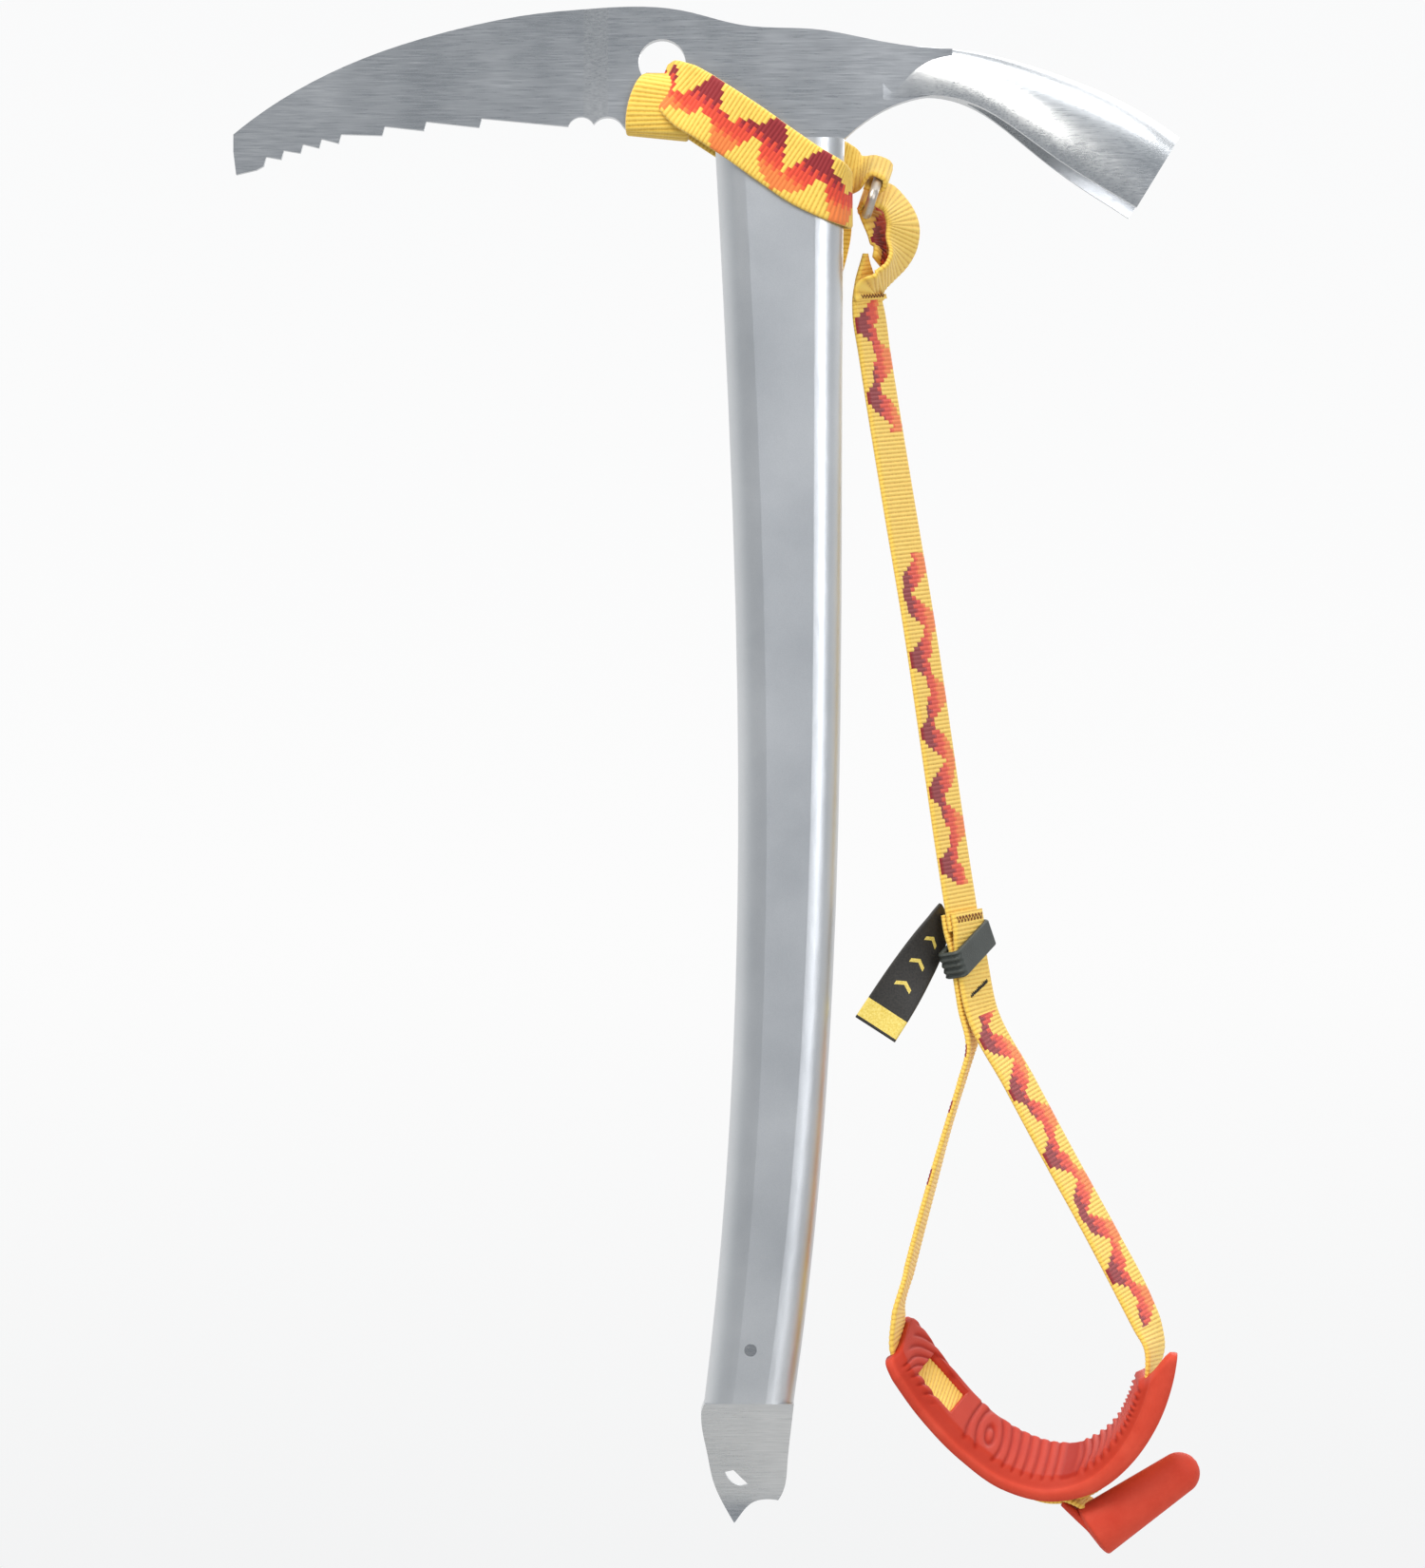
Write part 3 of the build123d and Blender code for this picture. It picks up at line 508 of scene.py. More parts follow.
def flow(stations, step):
    """A smooth cubic through stations, resampled every step metres.

    Each span is a Hermite cubic over its chord. The slope at a station is the chord slopes either side,
    each weighted by the other chord's length, so uneven spacing makes no bulges. The first three columns
    are the place. Returns the rows and how far along the line each one is."""
    stations = np.asarray(stations, float)
    chord = np.linalg.norm(np.diff(stations[:, :3], axis=0), axis=1)
    knots = np.concatenate([[0], np.cumsum(chord)])
    slope = np.diff(stations, axis=0) / chord[:, None]
    inner = slope[:-1] * chord[1:, None] + slope[1:] * chord[:-1, None]
    inner = inner / (chord[1:] + chord[:-1])[:, None]
    tangent = np.concatenate([slope[:1], inner, slope[-1:]])

    def at(s):
        span = np.clip(np.searchsorted(knots, s, side="right") - 1, 0, len(chord) - 1)
        h = chord[span][:, None]
        t = (s - knots[span])[:, None] / h
        start, end = stations[span], stations[span + 1]
        return ((2 * t**3 - 3 * t**2 + 1) * start + (t**3 - 2 * t**2 + t) * h * tangent[span]
                + (3 * t**2 - 2 * t**3) * end + (t**3 - t**2) * h * tangent[span + 1])

    even = np.linspace(0, knots[-1], 4000)
    fine = at(even)
    travelled = np.concatenate([[0], np.cumsum(np.linalg.norm(np.diff(fine[:, :3], axis=0), axis=1))])
    count = max(8, int(round(travelled[-1] / step)) + 1)
    wanted = np.linspace(0, travelled[-1], count)
    return at(np.interp(wanted, travelled, even)), wanted


def frames(line, sideways):
    """Run, width and face directions along a line: width is made square to the run, and face to both."""
    run = unit(np.gradient(line, axis=0))
    width = unit(sideways - run * np.einsum("ij,ij->i", sideways, run)[:, None])
    return run, width, np.cross(run, width)


# %% [markdown]
# ## Straps
#
# Webbing is a flat ribbon with round selvedges. Its section is carried along a smooth line through
# listed stations, each a place, the direction of the width there and the width itself. The ribs
# are real relief: the half thickness follows the absolute value of a cosine, round on the crowns and
# sharp in the grooves, and fades out at the selvedges. A patterned stretch is marked in the `motif`
# attribute, on the face named by `face_side`.

# %% One length of webbing
THICK = 1.6 * MM
RIB_HEIGHT = 0.2 * MM
COLUMNS = 16
selvedge = radians(90) - radians(45) * np.arange(1, 4)
flat_part, ones = np.zeros(COLUMNS), np.ones(COLUMNS)
core = np.concatenate([np.linspace(-1, 1, COLUMNS), [1, 1, 1], np.linspace(1, -1, COLUMNS), [-1, -1, -1]])
bulge = np.concatenate([flat_part, np.cos(selvedge), flat_part, -np.cos(selvedge)])
rise = np.concatenate([ones, np.sin(selvedge), -ones, -np.sin(selvedge)])


def strap(name, stations, body, nodes=(), patterned=(), face_side=-1, thickness=THICK, relief=RIB_HEIGHT,
          material=None, step=RIB / 6, flip=False):
    """A strap through stations (x, y, z, width direction x, y, z, width) in millimetres."""
    table = np.array(stations, float)
    table[:, :3] *= MM
    table[:, 6] *= MM
    line, along = flow(table, step)
    _, width, face = frames(line[:, :3], line[:, 3:6])
    half = thickness / 2
    wave = np.abs(np.cos(pi * along / RIB))[:, None] - 0.5
    side = core[None] * (line[:, 6:7] / 2 - half) + bulge[None] * half
    lift = rise[None] * (half + relief * wave * (np.abs(rise[None]) > 0.99))
    grid = line[:, None, :3] + width[:, None] * side[..., None] + face[:, None] * lift[..., None]
    u = side / line[:, 6:7] * (-1 if flip else 1) + 0.5
    v = np.repeat(along[:, None], len(core), 1)
    on_face = (rise * face_side > 0.5)[None].repeat(len(along), 0)
    in_stretch = np.zeros_like(v, bool)
    for start, end in patterned:
        in_stretch |= (v > start * MM) & (v < end * MM)
    layers = {"motif": (on_face & in_stretch).astype(float)}
    piece = skin(name, grid, material or woven, layers, np.stack([u, v], -1))
    print(name, round(along[-1] / MM), "mm of", round(float(np.median(line[:, 6])) / MM), "mm webbing")
    for node_name in nodes:
        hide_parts(node_name)
    if body:
        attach(piece, body)
    return piece


# %% [markdown]
# ## The hitch at the head
#
# One strap passes through the lower half of the hang hole. Its plain side wraps the web of steel
# under the hole, and its patterned side runs slanting over the front of the shaft, round the far edge
# and back behind. It is gathered where it goes through the hole, which is narrower than the strap.

# %% Hitch
wrap_path = [
    # x, y, z, then the width direction and the width
    (0.0, 1.0, -4.6, 1, 0, 0.0, 11.5),
    (-0.2, -3.4, -4.4, 1, 0, 0.0, 12.0),
    (-0.8, -5.6, -6.6, 1, 0, -0.05, 14.0),
    (-1.6, -6.0, -12.0, 1, 0, -0.10, 17.5),
    (-1.8, -5.6, -17.5, 1, 0, -0.14, 19.5),
    (-1.6, -4.2, -21.4, 1, 0, -0.12, 20.0),
    (-1.5, 0.0, -22.9, 1, 0, -0.10, 20.0),
    (-1.6, 4.2, -21.4, 1, 0, -0.12, 20.0),
    (-1.8, 5.6, -17.5, 1, 0, -0.14, 19.5),
    (-1.6, 6.0, -12.0, 1, 0, -0.10, 17.5),
    (-0.8, 5.6, -6.6, 1, 0, -0.05, 14.0),
    (-0.2, 3.4, -4.0, 1, 0, 0.0, 12.0),
    (0.0, 1.0, -3.6, 1, 0, 0.0, 11.5),
]
strap("hitch_wrap_webbing", wrap_path, "axe", ["hitch_wrap"])

front = [
    (1.2, 1.5, -4.2, 0.35, 0, 0.94, 9.0),
    (2.4, -3.6, -5.0, 0.40, 0, 0.92, 13.0),
    (4.6, -6.9, -7.6, 0.48, 0, 0.88, 17.5),
    (9.0, -8.6, -11.6, 0.55, 0, 0.83, 20.0),
    (15.0, -11.1, -15.6, 0.57, 0, 0.82, 20.0),
    (26.0, -11.4, -22.8, 0.57, 0, 0.82, 20.0),
    (37.0, -11.4, -30.6, 0.56, 0, 0.83, 20.0),
    (46.0, -11.3, -36.6, 0.50, 0, 0.86, 20.0),
    (52.4, -10.9, -40.0, 0.30, 0, 0.95, 19.5),
    (56.6, -7.8, -42.0, 0.08, 0, 1.00, 19.0),
    (59.3, -2.6, -43.0, 0.00, 0, 1.00, 18.5),
]
back = [(x, -y, z, *rest) for x, y, z, *rest in reversed(front)]
strap("hitch_band_webbing", front + back, "axe", ["hitch_band"], [(5, 170)], face_side=1, flip=True)

tail_path = [
    (52.0, 14.0, -42.0, 1, 0, 0, 16.0),
    (52.6, 13.6, -52.0, 1, 0.05, 0, 15.5),
    (52.4, 14.4, -62.0, 1, 0.25, 0, 12.5),
    (52.0, 15.2, -71.0, 1, 0.35, 0, 8.0),
    (52.2, 15.8, -78.0, 1, 0.4, 0, 3.5),
]
strap("strap_tail_webbing", tail_path, "axe", ["strap_tail"])

# %% [markdown]
# ## The ring tab
#
# From behind the shaft a short tab turns a quarter round, goes over the ring's upper bar and is sewn
# back on itself. The bar's place is the ring joint's own pivot, so the loop stays round it when the
# ring turns.

# %% Ring tab
ring_across = -joint_axes["ring_turn"]
upper_bar = joint_places["ring_turn"] / MM
lower_bar = joint_places["leash_swing"] / MM
ring_short = unit(lower_bar - upper_bar)
ring_face = np.cross(ring_across, ring_short)
ring_face *= np.sign(ring_face[0])
AROUND_BAR = 2.6


def by_bar(bar, right, down, width=18.0, along=1.3):
    """A station beside a bar of the ring: right out of its face, down its short side, along the bar."""
    return (*(bar + ring_face * right + ring_short * down + ring_across * along), *ring_across, width)


GATHERED = (14.0, 3.2)
tab_path = [
    (46.0, 14.9, -29.0, 0.35, 0.0, 0.94, 19.0),
    (53.0, 14.9, -31.4, 0.38, 0.0, 0.93, 19.0),
    (58.6, 14.4, -33.0, 0.34, 0.22, 0.91, 18.0),
    (62.6, 13.6, -33.4, 0.26, 0.52, 0.81, 16.0),
    by_bar(upper_bar, -2.4, -AROUND_BAR, *GATHERED),
    by_bar(upper_bar, 0.0, -AROUND_BAR, *GATHERED),
    by_bar(upper_bar, AROUND_BAR * 0.75, -AROUND_BAR * 0.75, *GATHERED),
    by_bar(upper_bar, AROUND_BAR, 0.0, *GATHERED),
    by_bar(upper_bar, AROUND_BAR * 0.75, AROUND_BAR * 0.75, *GATHERED),
    by_bar(upper_bar, 0.0, AROUND_BAR, *GATHERED),
    by_bar(upper_bar, -3.6, AROUND_BAR, *GATHERED),
]
strap("ring_tab_webbing", tab_path, "axe", ["ring_tab"])

# %% [markdown]
# ## The leash strap and its eye
#
# The strap hangs from the ring in a sewn eye. Its own cut end is the tapered tongue beside the seam,
# and the eye is a loop of the same webbing with its plain side out, which bulges to the right of the
# ring before it goes through.

# %% Main strap and eye
seam = joint_places["loop_fold"] / MM
strap_across = -joint_axes["loop_fold"]
strap_down = joint_axes["slider_travel"]
strap_face = np.cross(strap_down, strap_across)


def on_strap(down, out=0.0, side=0.0, width=20.0, across=None):
    """A station on the straight leash strap: down from the seam, out of its face, side along its width."""
    place = seam + strap_down * down + strap_face * out + strap_across * side
    return (*place, *(strap_across if across is None else across), width)


main_path = [
    on_strap(8.0),
    on_strap(-20),
    on_strap(-50, 0.4),
    on_strap(-90, 0.8),
    on_strap(-130, 0.3),
    on_strap(-165),
    on_strap(-178),
    (65.7, 11.6, -78.0, *strap_across, 20.0),
    (65.0, 11.2, -72.4, *strap_across, 17.0),
    (64.6, 10.4, -67.2, *strap_across, 11.5),
    (64.6, 9.6, -61.8, *strap_across, 4.5),
    (64.7, 9.3, -59.6, *strap_across, 2.2),
]
main_strap = strap("leash_strap_webbing", main_path, None, ["main_strap", "strap_end"],
                   [(14, 121), (160, 204)])
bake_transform(main_strap)

eye_path = [
    on_strap(-194.6, 1.75),
    on_strap(-197.0, 1.75),
    (69.0, 11.7, -68.8, 0.44, 0.89, 0.12, 20.0),
    (72.6, 12.8, -64.8, 0.30, 0.95, 0.08, 20.0),
    (75.2, 13.8, -60.2, 0.38, 0.92, 0.05, 20.0),
    (76.3, 14.4, -55.4, 0.51, 0.86, 0.02, 20.0),
    (76.7, 14.8, -50.0, 0.50, 0.85, 0.12, 20.0),
    (75.2, 14.6, -45.8, 0.38, 0.86, 0.30, 19.5),
    by_bar(lower_bar, 5.2, -AROUND_BAR + 0.6, 19.0),
    by_bar(lower_bar, 2.2, -AROUND_BAR),
    by_bar(lower_bar, 0.0, -AROUND_BAR),
    by_bar(lower_bar, -AROUND_BAR * 0.75, -AROUND_BAR * 0.75),
    by_bar(lower_bar, -AROUND_BAR, 0.0),
    by_bar(lower_bar, -AROUND_BAR * 0.75, AROUND_BAR * 0.75),
    by_bar(lower_bar, 0.4, AROUND_BAR + 0.2),
    (68.6, 14.8, -49.0, 0.40, 0.86, 0.28, 18.5),
    (70.6, 14.8, -53.8, 0.50, 0.86, 0.14, 18.5),
    (71.2, 14.2, -58.8, 0.50, 0.85, 0.10, 17.5),
    (69.9, 12.6, -63.4, 0.46, 0.88, 0.08, 14.0),
]
strap("eye_webbing", eye_path, "leash", patterned=[(52, 90)], face_side=1)

# %% [markdown]
# ## The wrist loop
#
# Below the seam one long strap makes the loop: down the left side, under the pad in its channel, and
# up the right. The pad's stations are the spine of everything here: its inner wall, the lips that
# stand down from both edges, and the strap that lies between them.

# %% Stations of the pad
pad_spine = np.array([
    # x, y, z of the inner wall, the width direction, and how deep the lips are
    (76.7, 7.0, -404.0, 0.20, 0.87, 0.45, 5.4),
    (88.0, 12.7, -420.0, 0.20, 0.87, 0.45, 5.4),
    (100.4, 16.7, -433.5, 0.18, 0.88, 0.42, 5.6),
    (112.5, 18.4, -442.0, 0.17, 0.89, 0.42, 6.0),
    (125.0, 17.7, -445.5, 0.15, 0.90, 0.38, 6.4),
    (136.5, 15.0, -443.0, 0.12, 0.93, 0.32, 7.2),
    (145.5, 11.7, -435.0, 0.08, 0.96, 0.22, 8.2),
    (150.5, 9.7, -425.5, 0.03, 0.98, 0.12, 9.2),
    (153.5, 8.7, -415.0, 0.00, 1.00, 0.05, 9.7),
    (155.0, 8.5, -407.0, 0.00, 1.00, 0.00, 9.7),
])
PAD_WIDE = 34.0
PAD_WALL = 2.4
PAD_LIP = 3.0
STRAP_GAP = 1.1
spine_out = -frames(pad_spine[:, :3], pad_spine[:, 3:6])[2]
hang = PAD_WALL / 2 + STRAP_GAP + np.array([-0.4, -1.2, -1.0, 3.4, 6.6, 5.4, 1.6, 0.4, 0.2, -0.6])
twist = np.outer([0, 0, 0, 0, 0, 0, 0, 0.08, 0.22, 0.36], (1.0, 0, 0))
channel = [(*place, *across, 20.0) for place, across in
           zip(pad_spine[:, :3] + spine_out * hang[:, None], pad_spine[:, 3:6] + twist)]
LAYER = 0.95  # from the middle of the two straps to the middle of each

loop_path = [
    on_strap(2.5, -1.75),
    on_strap(8, -1.7),
    on_strap(14, -LAYER),
    on_strap(22, -LAYER),
    on_strap(34, -LAYER),
    (98.6, 12.6, -312.0, 0.16, 0.98, 0.04, 20.0),
    (95.4, 12.8, -323.5, 0.11, 0.99, 0.03, 20.0),
    (91.7, 12.7, -335.6, 0.11, 0.99, 0.05, 20.0),
    (84.9, 11.6, -359.7, 0.16, 0.98, 0.10, 20.0),
    (78.5, 9.4, -383.8, 0.20, 0.94, 0.26, 20.0),
    (75.2, 7.4, -397.0, 0.20, 0.89, 0.40, 20.0),
    *channel,
    (154.6, 8.8, -401.0, 0.44, 0.89, 0.08, 20.0),
    (151.6, 9.0, -394.4, 0.48, 0.87, 0.10, 20.0),
    (139.9, 9.6, -371.8, 0.48, 0.87, 0.12, 20.0),
    (126.6, 10.4, -347.6, 0.48, 0.87, 0.12, 20.0),
    (113.9, 11.0, -323.8, 0.48, 0.87, 0.12, 20.0),
    on_strap(34, LAYER + 0.6),
    on_strap(22, LAYER),
    on_strap(14, LAYER),
    on_strap(8, 1.7),
    on_strap(2.5, 1.75),
]
loop_places = np.array(loop_path, float)[:, :3]
loop_length = np.linalg.norm(np.diff(loop_places, axis=0), axis=1).sum()
strap("wrist_strap_webbing", loop_path, "loop", ["wrist_strap"],
      [(40, 122), (loop_length - 144, loop_length - 32)])

# %% [markdown]
# ## The moulded pad
#
# The pad is a rubber channel: an inner wall that lies on the wrist, and a lip down each edge that hides
# the strap. Its section is drawn once and carried along the spine. The inner face is real relief: grooves
# along rings of one oval in the middle, contour lines at the left end and straight ribs at the right. A
# window through the wall at the left shows the strap.

# %% Pad
ACROSS = 61  # points across a wall
LIP_POINTS = 6
wall_side = np.linspace(-1, 1, ACROSS)
GROOVE_DEPTH = 0.55
OVAL_MIDDLE = 0.36  # place of the oval's centre, as a share of the pad's length
OVAL_PITCH = 3.1
CONTOUR_PITCH = 3.4
CROSS_RIB_PITCH = 3.3
CROSS_RIBS_FROM = (0.60, 0.66)
END_ROUND = 8.0
END_NARROWER = 4.0
NOTCH = 10.5
NOTCH_REACH = 30.0
WINDOW_SHEAR = 0.2
WINDOW_CENTRE = 20.5
WINDOW_LENGTH = 18.0
WINDOW_WIDE = 18.4


def smooth_step(x, low, high):
    """0 below low, 1 above high, and a cubic ease between."""
    t = np.clip((x - low) / (high - low), 0, 1)
    return t * t * (3 - 2 * t)


def engraved(distance, pitch):
    """1 between grooves and 0 in them: a cosine of distance over pitch, to a power that keeps it narrow."""
    return 1 - (0.5 - 0.5 * np.cos(2 * pi * distance / pitch)) ** 3


def pad_grooves(along, side, length):
    """Height of the skin between the grooves, in millimetres.

    Narrow grooves follow rings of one oval and, at the left end, arcs round the near corner. At the right
    end they give way to rounded ribs straight across."""
    middle = OVAL_MIDDLE * length
    from_oval = np.hypot((along - middle) * 0.95, (side + 2.0) * 0.30)
    right_part = smooth_step(along, CROSS_RIBS_FROM[0] * length, CROSS_RIBS_FROM[1] * length)
    rings = engraved(from_oval, OVAL_PITCH) * smooth_step(-along, -0.60 * length, -0.56 * length)
    beyond = smooth_step(-along, -middle + 8.3, -middle + 9.3)
    rings = np.where(along < middle - 9.5, 1, np.maximum(rings, beyond))
    contours = engraved(np.hypot(along - 26.0, (side + 18.0) * 0.8), CONTOUR_PITCH)
    left_part = smooth_step(-along, -25.0, -21.0)
    ribs = 0.5 + 0.5 * np.cos(2 * pi * (along + side**2 * 0.01) / CROSS_RIB_PITCH)
    height = rings * (1 - left_part) * (1 - right_part) + contours * left_part + 2.0 * ribs * right_part
    inside = smooth_step(-np.abs(side), -PAD_WIDE / 2 + 2.6, -PAD_WIDE / 2 + 4.6)
    inside = inside * smooth_step(along, 1.5, 4.0) * smooth_step(-along, -length + 1.0, -length + 3.0)
    return GROOVE_DEPTH * (1 + (height - 1) * inside)


def pad():
    """The channel section carried along the spine; both walls have the same columns, for the window.

    The inner wall stops NOTCH short of the lips at the right end: a point's place along the spine is moved
    back by NOTCH times how near it is to the wall, and this fades in over the last NOTCH_REACH."""
    line, along = flow(pad_spine, 0.45)
    _, width, face = frames(line[:, :3], line[:, 3:6])
    length = along[-1]
    # the ends are rounded in plan, the right one in a shorter length
    from_end = np.minimum(along, (length - along) * 2.5)
    round_off = 1 - np.sqrt(1 - (1 - np.clip(from_end / END_ROUND, 0, 1)) ** 2)
    half = PAD_WIDE / 2 - END_NARROWER * round_off
    deep = line[:, 6]
    # columns of the section: inner wall from -1 to 1, then the right lip, the channel and the left lip
    inner_side = wall_side[None] * (half[:, None] - 0.5)
    bevel = 3.2 * smooth_step(np.abs(wall_side[None]), 0.66, 1.0) ** 1.4
    grooves = pad_grooves(along[:, None], inner_side, length)
    inner_lift = -PAD_WALL / 2 + bevel - grooves
    lip = np.array([(0.0, 0.62), (0.0, 0.75), (0.0, 0.95), (-0.6, 1.0), (-PAD_LIP + 0.6, 1.0),
                    (-PAD_LIP, 0.92)])
    lip_side = half[:, None] + lip[None, :, 0]
    lip_lift = -PAD_WALL / 2 + lip[None, :, 1] * deep[:, None]
    outer_side = wall_side[None, ::-1] * (half[:, None] - PAD_LIP - 0.2)
    outer_lift = np.full((len(along), ACROSS), PAD_WALL / 2)
    side = np.concatenate([inner_side, lip_side, outer_side, -lip_side[:, ::-1]], 1)
    lift = np.concatenate([inner_lift, lip_lift, outer_lift, lip_lift[:, ::-1]], 1)
    near_wall = np.clip(1.15 - 1.15 * (lift + PAD_WALL / 2) / (0.72 * deep[:, None]), 0, 1)
    near_wall = np.maximum(near_wall, smooth_step(side, 4.0, 12.0))
    place = along[:, None] - NOTCH * near_wall * smooth_step(along, length - NOTCH_REACH, length)[:, None]
    # the window's sides slant, so the skin is sheared there
    by_window = smooth_step(along, 3, 11) * smooth_step(-along, -42, -30)
    place = place + WINDOW_SHEAR * side * by_window[:, None]
    at_line, at_width, at_face = (
        np.stack([np.interp(place, along, table[:, axis]) for axis in range(3)], -1)
        for table in (line, width, face))
    grid = at_line + at_width * side[..., None] - at_face * lift[..., None]
    # painted shade, how dark each point is painted: the hollows of the grooves, and the whole inner wall a
    # little
    shade = np.zeros_like(side)
    painted_shade = 1 - smooth_step(grooves, 0.05, 0.5)
    inside = smooth_step(-np.abs(wall_side[None]), -0.99, -0.9)
    shade[:, :ACROSS] = inside * (0.5 + 0.5 * painted_shade)
    return grid * MM, along, side, shade


def twin(column):
    """The outer wall's column that lies behind a column of the inner wall."""
    return 2 * ACROSS + LIP_POINTS - 1 - column


def pad_faces(rows, around, along, side):
    """The pad's faces: the window is left out of both walls, and its four sides and the ends are put in."""
    number = np.arange(rows * around).reshape(rows, around)
    r0, r1 = (int(np.argmin(abs(along - (WINDOW_CENTRE + sign * WINDOW_LENGTH / 2)))) for sign in (-1, 1))
    c0 = int(np.argmin(abs(side[r0, :ACROSS] + WINDOW_WIDE / 2)))
    c1 = ACROSS - 1 - c0
    keep = np.ones((rows - 1, around), bool)
    keep[r0:r1, c0:c1] = False
    keep[r0:r1, twin(c1):twin(c0)] = False
    faces = grid_quads(rows, around)[keep].tolist()
    down, over = np.arange(r0, r1), np.arange(c0, c1)
    for c, turn in ((c0, 1), (c1, -1)):
        wall = (number[down, c], number[down + 1, c], number[down + 1, twin(c)], number[down, twin(c)])
        faces += np.stack(wall, 1)[:, ::turn].tolist()
    for r, turn in ((r0, -1), (r1, 1)):
        wall = (number[r, over], number[r, over + 1], number[r, twin(over + 1)], number[r, twin(over)])
        faces += np.stack(wall, 1)[:, ::turn].tolist()
    # each end is a row of quads between the two walls, with one face over each lip
    c = np.arange(ACROSS - 1)
    for ring, turn in ((number[0], -1), (number[-1], 1)):
        faces += np.stack([ring[c], ring[c + 1], ring[twin(c + 1)], ring[twin(c)]], 1)[:, ::turn].tolist()
        right_lip = ring[ACROSS - 1:ACROSS + LIP_POINTS + 1]
        left_lip = np.append(ring[2 * ACROSS + LIP_POINTS - 1:], ring[0])
        faces += [right_lip[::turn].tolist(), left_lip[::turn].tolist()]
    return faces


pad_grid, pad_along, pad_side, pad_shade = pad()
wrist_pad = place_piece("wrist_pad_rubber", pad_grid.reshape(-1, 3),
                        pad_faces(*pad_grid.shape[:2], pad_along, pad_side), red_rubber)
# the painted shade, one value a point, read by the rubber's material
shades = wrist_pad.data.attributes.new("shade", "FLOAT", "POINT")
shades.data.foreach_set("value", pad_shade.reshape(-1).astype(np.float32))
# points that fall on each other are made one, and all faces are turned outward
welded = bmesh.new()
welded.from_mesh(wrist_pad.data)
bmesh.ops.remove_doubles(welded, verts=welded.verts, dist=0.002 * MM)
bmesh.ops.recalc_face_normals(welded, faces=welded.faces)
welded.to_mesh(wrist_pad.data)
welded.free()
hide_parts("wrist_pad")
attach(wrist_pad, "loop")
print("pad:", len(wrist_pad.data.polygons), "faces,", round(pad_along[-1]), "mm long")

# %% [markdown]
# ## The pull toggle
#
# A tapered rubber grip, fatter at the lower left and rounded at both ends, with a fin that runs back
# to the strap under the pad. A short loop of webbing ties it on.

# %% Toggle
toggle_start = np.array((139.4, 10.0, -465.0))
toggle_end = np.array((165.6, 10.0, -447.3))
TOGGLE_RADII = (9.0, 6.3)
TOGGLE_PAST = (4.0, 5.5)  # how far the rounded ends reach past the two places
TOGGLE_CLOSING = (2.4, 6.2)  # length over which each end closes
TOGGLE_FLAT = 0.86
SCOOP = 0.10


def toggle_body():
    """Circles along an axis whose radius falls evenly, rounded off at both ends and flattened in Y."""
    axis = toggle_end - toggle_start
    length = np.linalg.norm(axis)
    run = axis / length
    upward = np.cross((0, 1, 0), run)
    t = np.linspace(0, 1, 120)
    body = TOGGLE_RADII[0] + (TOGGLE_RADII[1] - TOGGLE_RADII[0]) * t
    span = t * (length + sum(TOGGLE_PAST)) - TOGGLE_PAST[0]
    near_start = np.clip((span + TOGGLE_PAST[0]) / TOGGLE_CLOSING[0], 0, 1)
    near_end = np.clip((length + TOGGLE_PAST[1] - span) / TOGGLE_CLOSING[1], 0, 1)
    closing = np.sqrt(1 - (1 - near_start) ** 3) * np.sqrt(1 - (1 - near_end) ** 2)
    turn = np.linspace(0, 2 * pi, 65)[:-1]
    # a shallow finger scoop along the front
    scoop = 1 - SCOOP * np.exp(-((turn - 1.5 * pi) / 0.55) ** 2)[None] * np.sin(pi * t)[:, None]
    radius = (body * np.maximum(closing, 0.02))[:, None] * scoop
    around = np.cos(turn)[:, None] * upward + TOGGLE_FLAT * np.sin(turn)[:, None] * np.array((0, 1, 0))
    return ((toggle_start + run * span[:, None])[:, None] + radius[..., None] * around) * MM


toggle = skin("pull_toggle_rubber", toggle_body(), red_rubber)
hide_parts("pull_toggle")
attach(toggle, "toggle_body")

fin_path = np.array([
    # x, y, z, half the thickness and half the width
    (129.5, 15.0, -457.4, 1.0, 4.5),
    (133.5, 13.0, -460.4, 1.3, 5.5),
    (137.5, 11.5, -463.4, 1.8, 6.4),
    (141.0, 10.6, -466.6, 2.4, 7.0),
])
fin_across = (0.12, 0.92, 0.35)


def squared(wave):
    """A sine or cosine pushed towards a square wave, which turns a circle into a rounded rectangle."""
    return np.sign(wave) * np.abs(wave) ** 0.45


def fin():
    """Rounded rectangles along the fin's line, thin at the strap and thick at the grip."""
    line, _ = flow(fin_path, 0.5)
    _, width, face = frames(line[:, :3], np.repeat([fin_across], len(line), 0))
    turn = np.linspace(0, 2 * pi, 41)[:-1, None]
    offset = (squared(np.cos(turn)) * (line[:, 4:5] * width)[:, None]
              + squared(np.sin(turn)) * (line[:, 3:4] * face)[:, None])
    return (line[:, None, :3] + offset) * MM


toggle_fin = skin("pull_toggle_fin", fin(), red_rubber)
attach(toggle_fin, "toggle_body")

pull_path = [
    (127.0, 15.0, -453.8, 0.15, 0.90, 0.38, 11.5),
    (131.0, 13.6, -455.4, 0.12, 0.92, 0.35, 11.5),
    (135.5, 12.4, -458.0, 0.10, 0.94, 0.30, 11.5),
    (140.0, 11.0, -461.0, 0.10, 0.94, 0.30, 11.5),
]
strap("pull_loop_webbing", pull_path, "toggle_body", ["pull_loop"])
print("toggle and its loop made")

# %% [markdown]
# ## The slider
#
# A rectangular nylon sleeve that squeezes the two straps together. It sits a little askew on them. Grip
# ribs run round the end that faces the hand, and the edges of the mouth are rounded.

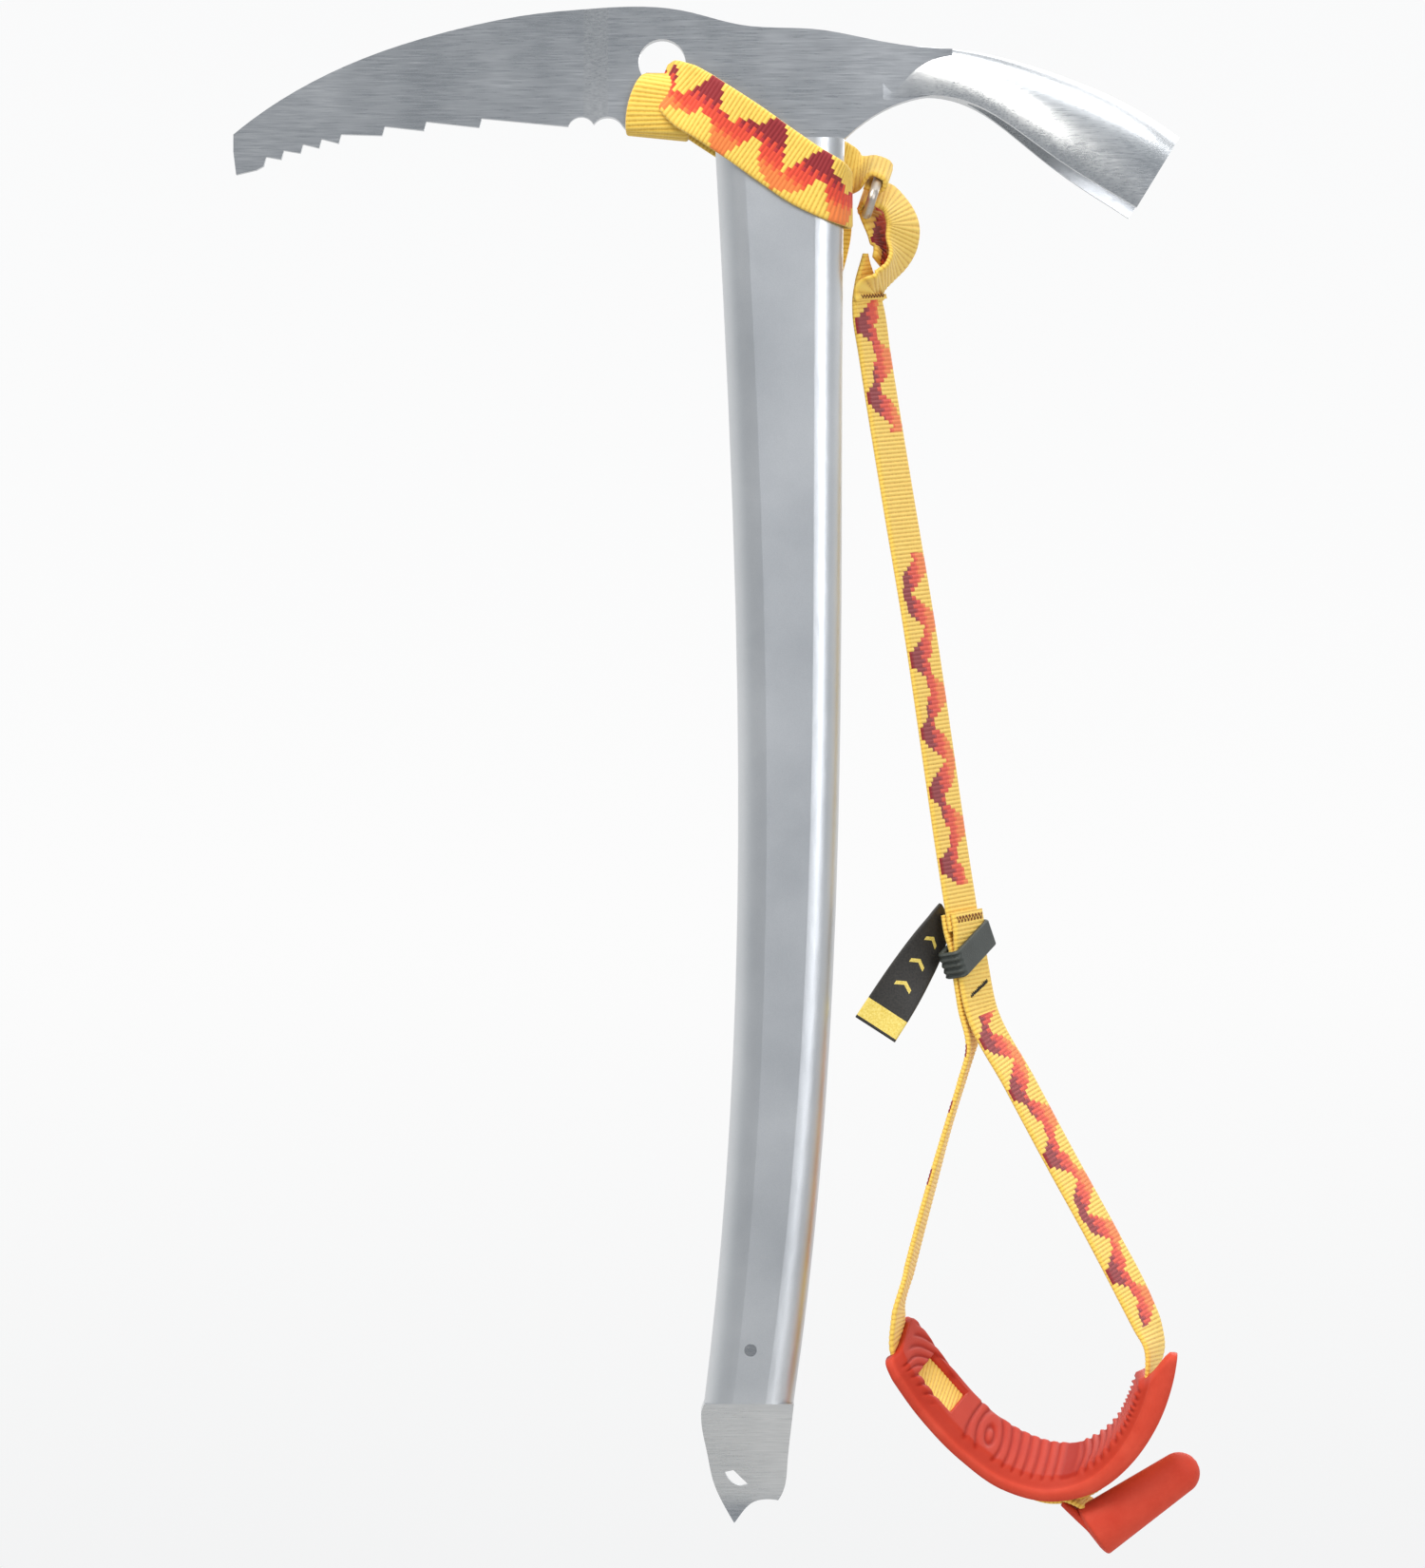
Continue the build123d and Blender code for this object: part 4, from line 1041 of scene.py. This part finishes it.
# %% Slider
SLIDER_HEIGHT = 9.0
SLIDER_WALL = 1.7
SLIDER_RIM = 0.6
SLIDER_SLOT = (22.8, 4.6)
GRIP_HEIGHT = 0.4
GRIP_PITCH = 2.1
slider_tilt = unit(np.array((0.39, 0.83, 0.40)))
slider_across = unit(slider_tilt - strap_face * (slider_tilt @ strap_face))
slider_up = np.cross(slider_across, strap_face)
slider_up *= np.sign(slider_up[2])
slider_middle = seam + strap_down * 14.5


def rounded_outlines(half_long, half_short, corner, count):
    """Rounded rectangles, one for each value given: straight sides with a quarter circle at each corner."""
    quarter = np.repeat(np.arange(4), count // 4)
    turn = pi / 2 * (quarter + np.tile(np.linspace(0, 1, count // 4), 4))
    long_side = np.array((1, -1, -1, 1))[quarter] * (half_long - corner)[:, None]
    short_side = np.array((1, 1, -1, -1))[quarter] * (half_short - corner)[:, None]
    return long_side + corner[:, None] * np.cos(turn), short_side + corner[:, None] * np.sin(turn)


def slider_grid():
    """One closed wall: up the outside with grip ribs, over a round rim, down the inside, and back under.

    share is how far out in the wall each ring of points is, 1 on the outside and 0 on the inside."""
    half_long, half_short = SLIDER_SLOT[0] / 2, SLIDER_SLOT[1] / 2
    straight = SLIDER_HEIGHT / 2 - SLIDER_RIM
    rim = np.linspace(0, pi, 9)[1:-1]
    height = np.concatenate([np.linspace(-straight, straight, 41), straight + SLIDER_RIM * np.sin(rim),
                             np.linspace(straight, -straight, 21), -straight - SLIDER_RIM * np.sin(rim)])
    share = np.concatenate([np.ones(41), 0.5 + 0.5 * np.cos(rim), np.zeros(21), 0.5 - 0.5 * np.cos(rim)])
    right, out = rounded_outlines(half_long + SLIDER_WALL * share, half_short + SLIDER_WALL * share,
                                  0.8 + 1.2 * share, 80)
    hand_end = smooth_step(-right, half_long - 1.5, half_long + 0.5) * (share == 1.0)[:, None]
    right = right - GRIP_HEIGHT * np.cos(2 * pi * height / GRIP_PITCH)[:, None] * hand_end
    grid = (slider_middle + slider_up * height[:, None, None] + slider_across * right[..., None]
            + strap_face * out[..., None])
    return grid.transpose(1, 0, 2) * MM


slider_points = slider_grid()
slider_quads = grid_quads(*slider_points.shape[:2], closed=True).reshape(-1, 4)
slider_points = slider_points.reshape(-1, 3)
slider_turn = 1 if enclosed(slider_points, slider_quads) > 0 else -1
slider = place_piece("slider_nylon", slider_points, slider_quads[:, ::slider_turn].tolist(), black_nylon)
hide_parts("slider")
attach(slider, "slider_body")
print("slider:", len(slider.data.polygons), "faces")

# %% [markdown]
# ## The label
#
# A folded ribbon sewn into the seam. It comes out edge on, turns to face forward and hangs in a
# slight curl.

# %% Label
label_path = [
    (67.6, 1.5, -306.5, 0.93, -0.05, -0.36, 15.0),
    (73.4, 2.4, -297.6, 0.92, 0.10, -0.32, 14.8),
    (79.4, 4.2, -288.0, 0.86, 0.36, -0.25, 14.5),
    (84.6, 6.6, -279.6, 0.76, 0.60, -0.12, 14.0),
    (88.2, 8.9, -273.4, 0.62, 0.78, 0.0, 13.0),
    (90.2, 10.6, -269.4, *strap_across, 12.0),
]
strap("label_ribbon", label_path, "tag_body", ["label_tag"], thickness=1.1 * MM, relief=0.02 * MM,
      material=ribbon, step=0.4 * MM)

# %% [markdown]
# ## Stitching
#
# A bar tack is a dense zigzag of thread. Each stitch is a small arch of a six-sided tube that dips
# into the webbing at both ends, and the whole row is one mesh.


# %% Bar tacks
def bar_tack(name, middle, along, across, lift, length, wide, body, material, stitches=16, thread=0.32):
    """Zigzag stitches over a patch: length along one direction and wide across it, raised along lift.

    Each stitch runs from one side to the other and rises by the root of a sine, so its ends are steep."""
    along, across, lift = (unit(np.array(direction, float)) for direction in (along, across, lift))
    places = np.linspace(-0.5, 0.5, stitches + 1)[:, None] * length
    side = np.where(np.arange(stitches) % 2, 0.5, -0.5)[:, None] * wide
    start = middle + along * places[:-1] + across * side
    end = middle + along * places[1:] - across * side
    t = np.linspace(0, 1, 7)[:, None]
    arch = start[:, None] + (end - start)[:, None] * t + lift * (np.sin(pi * t) ** 0.5 - 0.4) * thread
    turn = (np.arange(6) * pi / 3)[:, None]
    other = np.cross(lift, unit(end - start))
    ring = (np.cos(turn) * lift + np.sin(turn) * other[:, None]) * thread / 2
    tubes = (arch[:, :, None] + ring[:, None]) * MM
    first = (np.arange(stitches) * len(t) * len(turn))[:, None]
    quads = (first[:, None] + grid_quads(len(t), len(turn)).reshape(-1, 4)).reshape(-1, 4)
    low_cap = first + np.arange(len(turn))[::-1]
    high_cap = first + (len(t) - 1) * len(turn) + np.arange(len(turn))
    faces = quads.tolist() + low_cap.tolist() + high_cap.tolist()
    piece = place_piece(name, tubes.reshape(-1, 3), faces, material)
    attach(piece, body)


TACK_OUT = 1.75 + THICK / MM / 2  # from the straps' middle out to the face of the outer layer
loop_tack = strap_down * 4.6
bar_tack("eye_tack", seam - strap_down * 195.8 + strap_face * TACK_OUT, strap_across, strap_down,
         strap_face, 15, 1.2, "leash", brown_thread)
bar_tack("loop_tack_face", seam + loop_tack + strap_face * TACK_OUT, strap_across, strap_down,
         strap_face, 17, 2.4, "loop", brown_thread)
bar_tack("loop_tack_back", seam + loop_tack - strap_face * TACK_OUT, strap_across, strap_down,
         -strap_face, 17, 2.4, "loop", brown_thread)
bar_tack("fork_tack", seam + strap_down * 27.5 + strap_face * (LAYER + THICK / MM / 2 + 0.1),
         strap_across * 0.82 - strap_down * 0.25, strap_down, strap_face, 13, 1.4, "loop", dark_thread,
         stitches=22, thread=0.4)
print("stitching made")
